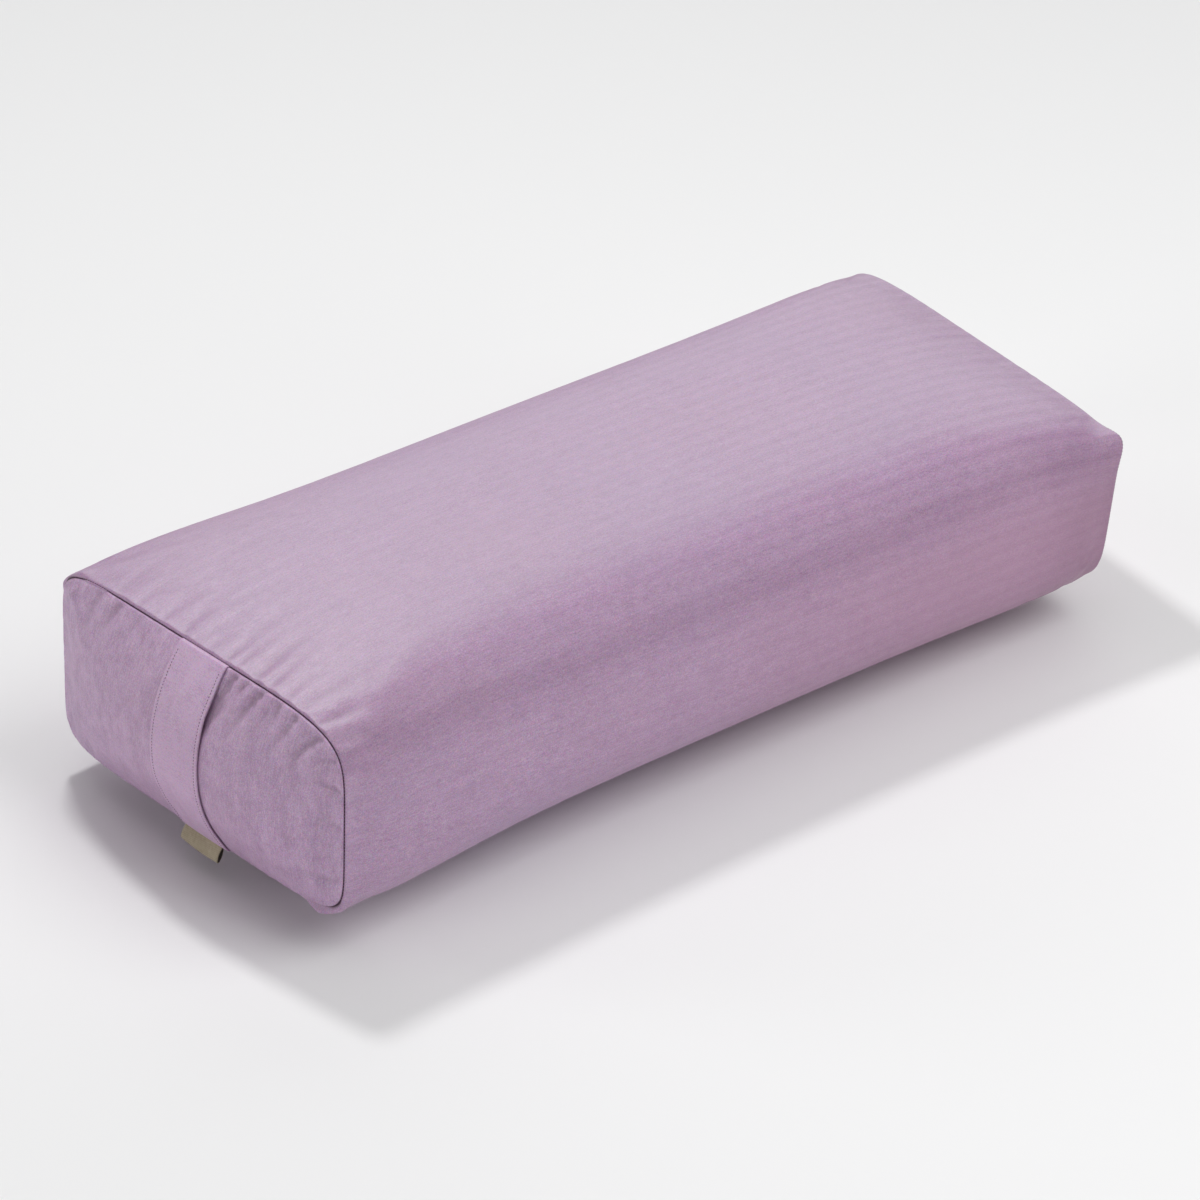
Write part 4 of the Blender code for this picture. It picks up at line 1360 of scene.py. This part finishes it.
# %% Label loop
label_low, label_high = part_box("side_label")
LABEL_WIDTH = label_high.y - label_low.y
LABEL_SEAM = np.array([-0.30575, (label_high.y + label_low.y) / 2, 0.0229])
LABEL_DROP = 0.0105
LABEL_LEAN = math.radians(24)
LABEL_TAPE_THICKNESS = 0.00045
LABEL_BULGE = 0.0026
LABEL_NIP = 0.0007
LABEL_BOW = 0.0008
LABEL_TWIST = 0.0006


def label_profile(steps=14):
    """Half distance between the layers and the depth below the seam, down and round the fold."""
    share = np.linspace(0, 1, steps)
    apart = (LABEL_NIP + (LABEL_BULGE - LABEL_NIP) * np.sin(math.pi * share**1.25) ** 1.1) / 2
    apart[-1] = 0.0
    apart[-2] = max(apart[-2], 0.00075)
    back = np.stack([apart, -LABEL_DROP * share], 1)
    return np.concatenate([back * (-1, 1), back[-2::-1]])


def build_label():
    profile = label_profile()
    ahead = np.gradient(profile, axis=0)
    outward = unit(ahead[:, ::-1] * (1, -1))
    across = np.linspace(-1, 1, 25)
    layers = []
    for offset in (LABEL_TAPE_THICKNESS / 2, -LABEL_TAPE_THICKNESS / 2):
        x, z = (profile + outward * offset).T[:, :, None]
        down = z / LABEL_DROP
        x = x + LABEL_TWIST * across * down
        z = z - LABEL_BOW * (1 - across**2) * down**2
        layers.append(np.stack(np.broadcast_arrays(x, across * LABEL_WIDTH / 2, z), -1))
    rows, columns = layers[0].shape[:2]
    count = rows * columns
    outer = grid_faces(rows, columns).reshape(-1, 4)
    at = np.arange(count).reshape(rows, columns)
    border = np.concatenate([at[0, :-1], at[:-1, -1], at[-1, :0:-1], at[:0:-1, 0]])
    following = np.roll(border, -1)
    rim = np.stack([following, border, border + count, following + count], 1)
    lean = np.array(Matrix.Rotation(LABEL_LEAN, 3, "Y"))
    points = np.concatenate(layers).reshape(-1, 3) @ lean.T + LABEL_SEAM
    flat = np.stack(np.meshgrid(across * LABEL_WIDTH / 2, travelled(profile)), -1).reshape(-1, 2)
    # painted shade: the inner layer of the loop takes the dark inside colour
    inside = np.repeat([0.0, 1.0], count)
    faces = np.concatenate([outer, outer[:, ::-1] + count, rim])
    return add_piece("label_loop", points, faces, LABEL_TAPE, np.concatenate([flat, flat]), crevice=inside)


settle(build_label(), "label_tape", "side_label", body="label")
print("label:", round(LABEL_WIDTH * 1000, 1), "mm wide,", round(LABEL_DROP * 1000, 1), "mm long")

# %% [markdown]
# ## Zip tapes and coils
#
# The zip closes the slot along the rear side. Its two tapes are plain woven bands with a corded inner
# edge. A coil zip's teeth are one stiff nylon thread wound to a flat spiral, sewn down along the
# tape: so each coil here is a real spiral with a row of stitches over it. The tapes and coils stand
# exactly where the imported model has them, so their sizes are read from its nodes.

# %% Zip tapes and coils
coil_low, coil_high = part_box("zip_coil_upper")
ZIP_HEIGHT = (tape_low.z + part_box("zip_tape_lower")[1].z) / 2
COIL_PITCH = 0.0021
COIL_THREAD = 0.00034
COIL_HEAD = 0.00036
TURN_POINTS = 10
COIL_STITCH_IN = 0.0008
COIL_STITCH_THREAD = 0.00016

made, wire = start_material("mauve nylon coil", roughness=0.38)
cloudy = wire.place().noise(400.0)
tone = cloudy.mix(screen_colour(128, 108, 138), screen_colour(152, 132, 160))
ZIP_NYLON = finish(made, tone, wire.place().noise(2600.0), 0.00003, roughness=cloudy * 0.2 + 0.28)


def tape_parts(up):
    """A woven band with rounded edges, thicker along the coil where a cord is woven in."""
    half = (tape_high.y - tape_low.y) / 2
    across = np.concatenate([[0.0, 0.02, 0.05, 0.09, 0.13], np.linspace(0.18, 0.97, 9), [1.0]])
    thick = half * np.array([0.3, 0.85, 1.0, 1.0, 0.85] + [0.72] * 9 + [0.3])
    places = np.concatenate([across, across[::-1]])
    raised = np.concatenate([thick, -thick[::-1]]) + (tape_high.y + tape_low.y) / 2
    z = ZIP_HEIGHT + up * (mix(tape_low.z, tape_high.z, places) - ZIP_HEIGHT)
    x = np.linspace(tape_low.x, tape_high.x, 121)[:, None]
    sway = 0.00006 * np.sin(x * 310.0) + 0.00004 * np.sin(x * 790.0 + 1.0)
    return capped(np.stack(np.broadcast_arrays(x, raised + sway * places, z), -1), up, (1, 1))


def coil_parts(up, phase):
    """A nylon thread wound to a flat spiral along the tape's edge."""
    turns = int((coil_high.x - coil_low.x - 0.001) / COIL_PITCH)
    turn = np.arange(turns * TURN_POINTS + 1) * (2 * math.pi / TURN_POINTS)
    inner = COIL_HEAD + COIL_THREAD
    outer = coil_high.z - ZIP_HEIGHT - COIL_THREAD
    y_half = (coil_high.y - coil_low.y) / 2 - COIL_THREAD
    x = coil_low.x + 0.0005 + COIL_PITCH * (turn / (2 * math.pi) + phase * 0.98)
    x = np.minimum(x, coil_high.x - 0.0003)
    y = (coil_high.y + coil_low.y) / 2 + y_half * signed_power(np.sin(turn), 0.75)
    z = ZIP_HEIGHT + up * ((inner + outer) / 2 + (outer - inner) / 2 * signed_power(np.cos(turn), 0.7))
    return tube_along(np.stack([x, y, z], 1), COIL_THREAD, (1, 0, 0.2))


def coil_stitch_parts(up):
    x = np.linspace(coil_low.x + COIL_STITCH_IN, coil_high.x - COIL_STITCH_IN, 3)
    z = ZIP_HEIGHT + up * (coil_high.z - ZIP_HEIGHT - COIL_STITCH_IN)
    path = np.stack(np.broadcast_arrays(x, coil_high.y - 0.00012, z), 1)
    return stitch_row(path, np.tile([0.0, 1.0, 0.0], (3, 1)), COIL_PITCH, COIL_STITCH_THREAD, 0.12)


for side, up, phase in (("upper", 1, 0.0), ("lower", -1, 0.5)):
    points, faces = tape_parts(up)
    tape = add_piece(f"zip_tape_cloth_{side}", points, faces, ZIP_TAPE, points[:, [0, 2]])
    settle(tape, "zip_tape", f"zip_tape_{side}")
    coil = add_piece(f"coil_teeth_{side}", *coil_parts(up, phase), ZIP_NYLON)
    settle(coil, "zip_coil", f"zip_coil_{side}")
    settle(add_piece(f"coil_stitching_{side}", *coil_stitch_parts(up), THREAD), "zip_tape")
print("zip height", round(ZIP_HEIGHT, 4), "coil from", round(coil_low.x, 3), "to", round(coil_high.x, 3))

# %% [markdown]
# ## Stops, slider and pull
#
# The metal parts of a zip are die cast or stamped and then tumbled, so no edge is sharp. Each one is
# lofted: a row of rounded sections along its length. The slider's outer plate is wider where the two
# halves of the chain run in, its flanges guide them, a neck parts them and a back plate runs behind.
# The pull hangs from a bridge by its window.

# %% Nickel and lofted blocks
EASED = ((0, 0.72), (0.03, 0.9), (0.08, 1), (0.3, 1), (0.5, 1), (0.7, 1), (0.92, 1), (0.97, 0.9), (1, 0.72))
# along a stop: place, share of its width and share of its thickness
HALF_STOP = ((0, 0.8, 0.75), (0.1, 0.97, 0.95), (0.3, 1, 1))
STOP = (*HALF_STOP, (0.5, 0.93, 0.86), *((1 - share, *size) for share, *size in HALF_STOP[::-1]))

made, wire = start_material("satin nickel", roughness=0.3, metallic=1.0)
brushed = wire.place().noise(1.0, stretch=(500.0, 4000.0, 4000.0))
worn = wire.place().noise(700.0, 3.0)
tone = worn.band(0.35, 0.7).mix(screen_colour(190, 186, 180), screen_colour(162, 158, 152))
rough = brushed * 0.22 + worn * 0.12 + 0.2
NICKEL = finish(made, tone, brushed + worn * 0.6, 0.00003, roughness=rough)


def rounded_section(half_width, half_height, squareness=5.0, count=28):
    """Offsets round a rounded oblong."""
    turn = np.linspace(0, 2 * math.pi, count, endpoint=False)
    wide = half_width * signed_power(np.cos(turn), 2 / squareness)
    return wide, half_height * signed_power(np.sin(turn), 2 / squareness)


def lofted(x_low, x_high, middle_y, middle_z, stations):
    """Rounded sections along X, from rows of a share of the length, half width and half height."""
    loops = []
    for share, half_z, half_y in stations:
        z, y = rounded_section(half_z, half_y)
        x = np.full(len(z), mix(x_low, x_high, share))
        loops.append(np.stack([x, middle_y + y, middle_z + z], 1))
    return capped(np.stack(loops), -1)


def block(x_low, x_high, y_low, y_high, half_z, z=ZIP_HEIGHT, widths=((0, 1), (1, 1))):
    """A lofted block whose ends are eased; widths give its share of width along its length."""
    half_y = (y_high - y_low) / 2
    places, shares = zip(*widths)
    stations = []
    for share, ease in EASED:
        stations.append((share, half_z * np.interp(share, places, shares) * ease, half_y * ease))
    return lofted(x_low, x_high, y_low + half_y, z, stations)


for name, node in (
    ("top_stop_clamp_upper", "zip_top_stop_upper"),
    ("top_stop_clamp_lower", "zip_top_stop_lower"),
    ("bottom_stop_clamp", "zip_bottom_stop"),
):
    low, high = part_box(node)
    middle, half = (low + high) / 2, (high - low) / 2
    stations = [(share, half.z * wide, half.y * thick) for share, wide, thick in STOP]
    clamp = add_piece(name, *lofted(low.x, high.x, middle.y, middle.z, stations), NICKEL)
    settle(clamp, "zip_metal", node)
print("three stops")

# %% Slider and pull
slider_low, slider_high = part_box("zip_slider")
pull_low, pull_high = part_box("zip_pull")
PLATE_THICKNESS = 0.0009
PLATE_TOP_Y = coil_high.y + 0.0003 + PLATE_THICKNESS
BACK_TOP_Y = tape_low.y - 0.0003
SHIELD = ((0, 0.86), (0.45, 0.88), (0.8, 1.0), (1, 0.96))
EDGE_IN = 0.0006
FLANGE_IN = 0.00052
FLANGE_HALF = 0.00040
BACK_NARROWER = 0.0004
NECK_LENGTH = 0.0034
NECK_HALF = 0.00030
NECK_SUNK = 0.0002
BRIDGE_HALF = (0.0008, 0.0004)
BRIDGE_REACH = 0.0020
BRIDGE_ROWS = 19
WINDOW_HALF = (0.0016, 0.0013)
WAIST_AT = -0.0062
WAIST_WIDTH = 0.0028
PULL_THICKNESS = pull_high.y - pull_low.y
PULL_PIVOT = Vector((pull_high.x - PULL_THICKNESS / 2, (pull_low.y + pull_high.y) / 2, ZIP_HEIGHT))
# round the pull's section: share of the way from the window to the outline, and height
PULL_SECTION = (
    (0.0, -0.6), (0.0, 0.6), (0.06, 1.0), (0.5, 0.82), (0.72, 0.74), (0.84, 1.0), (0.95, 1.0), (1.0, 0.6),
    (1.0, -0.6), (0.95, -1.0), (0.84, -1.0), (0.72, -0.74), (0.5, -0.82), (0.06, -1.0),
)


def bridge_part():
    """The flat arch that the pull hangs from."""
    turn = np.linspace(-0.12, math.pi + 0.12, BRIDGE_ROWS)
    rise = slider_high.y - PLATE_TOP_Y - BRIDGE_HALF[1]
    x = PULL_PIVOT.x + BRIDGE_REACH * signed_power(np.cos(turn), 0.6)
    y = PLATE_TOP_Y + rise * signed_power(np.sin(turn), 0.6)
    ahead_x, ahead_y = unit(np.stack([np.gradient(x), np.gradient(y)], 1)).T[:, :, None]
    wide, high = rounded_section(*BRIDGE_HALF, 3.5, 16)
    ring_x = x[:, None] + high * ahead_y
    ring_y = y[:, None] - high * ahead_x
    return capped(np.stack(np.broadcast_arrays(ring_x, ring_y, ZIP_HEIGHT + wide), -1), 1, (-1, 1))


def slider_parts():
    """Outer plate, two flanges, neck, back plate and bridge of the slider."""
    x_low, x_high = slider_low.x, slider_high.x
    half = (slider_high.z - slider_low.z) / 2
    parts = [block(x_low, x_high, PLATE_TOP_Y - PLATE_THICKNESS, PLATE_TOP_Y, half, widths=SHIELD)]
    for up in (1, -1):
        z = ZIP_HEIGHT + up * (half - FLANGE_IN)
        flange_y = (tape_high.y + 0.0003, PLATE_TOP_Y - 0.0003)
        parts.append(block(x_low + EDGE_IN, x_high - EDGE_IN, *flange_y, FLANGE_HALF, z))
    parts.append(block(x_low, x_high, slider_low.y, BACK_TOP_Y, half - BACK_NARROWER, widths=SHIELD))
    neck_x = (x_high - EDGE_IN - NECK_LENGTH, x_high - EDGE_IN)
    parts.append(block(*neck_x, BACK_TOP_Y - NECK_SUNK, PLATE_TOP_Y - NECK_SUNK, NECK_HALF))
    return joined([*parts, bridge_part()])


def pull_parts():
    """A tab with a window over the bridge's bar, a waist, and a pressed rim round its grip."""
    half_length = (pull_high.x - pull_low.x) / 2
    bar = PULL_THICKNESS / 2
    turn = np.linspace(0, 2 * math.pi, 56, endpoint=False)
    outer_x = bar - half_length + half_length * signed_power(np.cos(turn), 0.42)
    waist = 1 - 0.16 * bell(outer_x - WAIST_AT, WAIST_WIDTH)
    outer_z = (pull_high.z - pull_low.z) / 2 * signed_power(np.sin(turn), 0.5) * waist
    window_x = WINDOW_HALF[0] * (signed_power(np.cos(turn), 0.3) - 1) - bar
    window_z = WINDOW_HALF[1] * signed_power(np.sin(turn), 0.3)
    share, height = np.array(PULL_SECTION).T[:, :, None]
    x = PULL_PIVOT.x + mix(window_x, outer_x, share)
    z = PULL_PIVOT.z + mix(window_z, outer_z, share)
    loops = np.stack(np.broadcast_arrays(x, PULL_PIVOT.y + height * bar, z), -1)
    rows, columns = loops.shape[:2]
    at = np.pad(np.arange(rows * columns).reshape(rows, columns), ((0, 1), (0, 1)), mode="wrap")
    return loops.reshape(-1, 3), cells(at).reshape(-1, 4)[:, ::-1]


settle(add_piece("slider_casting", *slider_parts(), NICKEL), "zip_metal", "zip_slider", body="slider")
settle(add_piece("pull_plate", *pull_parts(), NICKEL), "zip_metal", "zip_pull", body="pull")
print("slider and pull at x", round(PULL_PIVOT.x, 4))

# %% [markdown]
# ## Bag, wadding and foam
#
# Nobody sees the filling, but a part that can be opened should hold it. The calico bag repeats the
# cover's form a little smaller, the wadding fills the bag, and a foam block in the middle keeps the
# bolster firm. All of them come from the same section, ring and end functions as the cover, drawn
# in, and each gets its own cloth or foam.

# %% Materials of the filling
made, wire = start_material("undyed calico", roughness=0.9, sheen=0.2)
weave = wire.place().noise(1.0, stretch=(900.0, 900.0, 900.0))
tone = weave.band(0.3, 0.7).mix(screen_colour(214, 208, 194), screen_colour(232, 228, 218))
flecks = wire.place().noise(260.0, 1.0).band(0.68, 0.74) * 0.6
CALICO = finish(made, flecks.mix(tone, screen_colour(176, 156, 124)), weave, 0.00015)

made, wire = start_material("fibre wadding", roughness=0.95, sheen=0.4)
fibre = wire.place().noise(1.0, 4.0, 0.7, stretch=(240.0, 900.0, 900.0))
clump = wire.place().noise(45.0)
tone = (fibre * 0.6 + clump * 0.4).mix(screen_colour(214, 211, 204), screen_colour(246, 245, 241))
WADDING = finish(made, tone, fibre + clump, 0.0008)

made, wire = start_material("cut foam", roughness=0.95)
bubbles = wire.node("ShaderNodeTexVoronoi", {}, {"Vector": wire.place(), "Scale": 700.0})
tone = bubbles.band(0.1, 0.7).mix(screen_colour(186, 170, 124), screen_colour(230, 218, 182))
tone = (wire.place().noise(30.0) * 0.25).mix(tone, screen_colour(214, 196, 150))
FOAM = finish(made, tone, bubbles, 0.0004)
print("calico, wadding and foam")

# %% Bag, wadding and foam pieces
foam_low, foam_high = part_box("foam_block")
BAG_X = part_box("inner_bag_wrap_panel")[1].x
BAG_IN = {"side_in": 0.0064, "top_in": 0.0046}
BAG_WALL = 0.0005
FILLING_FILL = 0.9
WADDING_GAP = 0.0016
WADDING_IN = {key: value + WADDING_GAP for key, value in BAG_IN.items()}
WADDING_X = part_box("wadding_pad_plain_side")[1].x - END_CROWN
WADDING_LUMPS = 0.02
ROLL_GAP = 0.0006
SIDES = (("handle_side", -1), ("plain_side", 1))
HOLLOW_SQUARENESS = (12.0, 12.0, 12.0)
FOAM_SQUARENESS = (9.0, 9.0, 9.0)
FOAM_PLACES = np.array([-1, -0.995, -0.98, -0.95, -0.6, -0.2, 0.2, 0.6, 0.95, 0.98, 0.995, 1])
WELD = 0.00002


def closed_solid(name, grids, material, slot, node):
    """Weld several grids of points into one closed piece."""
    parts = []
    for grid, closed, turn in grids:
        faces = grid_faces(*grid.shape[:2], closed=closed).reshape(-1, 4)[:, ::turn]
        parts.append((grid.reshape(-1, 3), faces.tolist()))
    piece = add_piece(name, *joined(parts), material)
    welded = bmesh.new()
    welded.from_mesh(piece.data)
    bmesh.ops.remove_doubles(welded, verts=welded.verts, dist=WELD)
    bmesh.ops.recalc_face_normals(welded, faces=welded.faces)
    welded.to_mesh(piece.data)
    welded.free()
    piece.data.shade_smooth()
    settle(piece, slot, node, fill=FILLING_FILL)


def lumpy(grid, height, seed):
    """Move points a little in and out along Y and Z, as wadding settles in soft lumps."""
    x, y, z = np.moveaxis(grid, -1, 0)
    wave = np.sin(x * 61 + seed) * np.cos(y * 47 - seed) + np.sin(z * 83 + x * 29 + 2 * seed)
    scale = 1 - height * (0.5 + 0.25 * wave)
    middle = MID_HEIGHT / 2
    return np.stack([x, y * scale, middle + (z - middle) * scale], -1)


points = skew(rings(np.linspace(-BAG_X, BAG_X, 61), **BAG_IN))
faces = grid_faces(*points.shape[:2], closed=True).reshape(-1, 4)
bag = add_piece("bag_wrap", points.reshape(-1, 3), faces, CALICO, wall=BAG_WALL)
settle(bag, "bag_cloth", "inner_bag_wrap_panel", fill=FILLING_FILL)
for place, side in SIDES:
    points = skew(end_face(side, BAG_X, **BAG_IN))
    faces = grid_faces(*points.shape[:2]).reshape(-1, 4)[:, ::-side]
    bag = add_piece(f"bag_end_{place}", points.reshape(-1, 3), faces, CALICO, wall=BAG_WALL)
    settle(bag, "bag_cloth", f"inner_bag_end_panel_{place}", fill=FILLING_FILL)

outer = skew(lumpy(rings(np.linspace(-foam_high.x, foam_high.x, 41), **WADDING_IN), WADDING_LUMPS, 1.0))
hollow = (foam_high.y + ROLL_GAP, foam_low.z - ROLL_GAP, foam_high.z + ROLL_GAP, HOLLOW_SQUARENESS)
inner = np.stack([oblong_ring(x, *hollow) for x in (foam_high.x, 0.0, -foam_high.x)])
mouths = [np.stack([outer[-1], inner[0]]), np.stack([inner[-1], outer[0]])]
roll = [(grid, True, 1) for grid in (outer, inner, *mouths)]
closed_solid("wadding_roll", roll, WADDING, "wadding", "wadding_wrap")
start = foam_high.x + ROLL_GAP
for place, side in SIDES:
    tube = skew(rings(side * np.linspace(start, WADDING_X, 9), **WADDING_IN))
    dome = skew(end_face(side, WADDING_X, **WADDING_IN))
    flat = end_face(side, WADDING_X, seam_x=start, **WADDING_IN)
    flat[..., 0] = side * start
    pad = [(tube, True, side), (dome, False, -side), (skew(flat), False, side)]
    closed_solid(f"wadding_end_{place}", pad, WADDING, "wadding", f"wadding_pad_{place}")

# the foam block is cut square by a blade, and its edges are eased by pressing
middle, half = (foam_low + foam_high) / 2, (foam_high - foam_low) / 2
block_rings = []
for share in FOAM_PLACES:
    ease = 1 - 0.09 * abs(share) ** 60
    size = (half.y * ease, middle.z - half.z * ease, middle.z + half.z * ease)
    block_rings.append(oblong_ring(middle.x + half.x * share, *size, FOAM_SQUARENESS))
tube = np.stack(block_rings)
core = [(tube, True, 1), (spanned(tube[0]), False, 1), (spanned(tube[-1]), False, -1)]
closed_solid("foam_core", core, FOAM, "foam", "foam_block")
print("bag, wadding and foam inside")
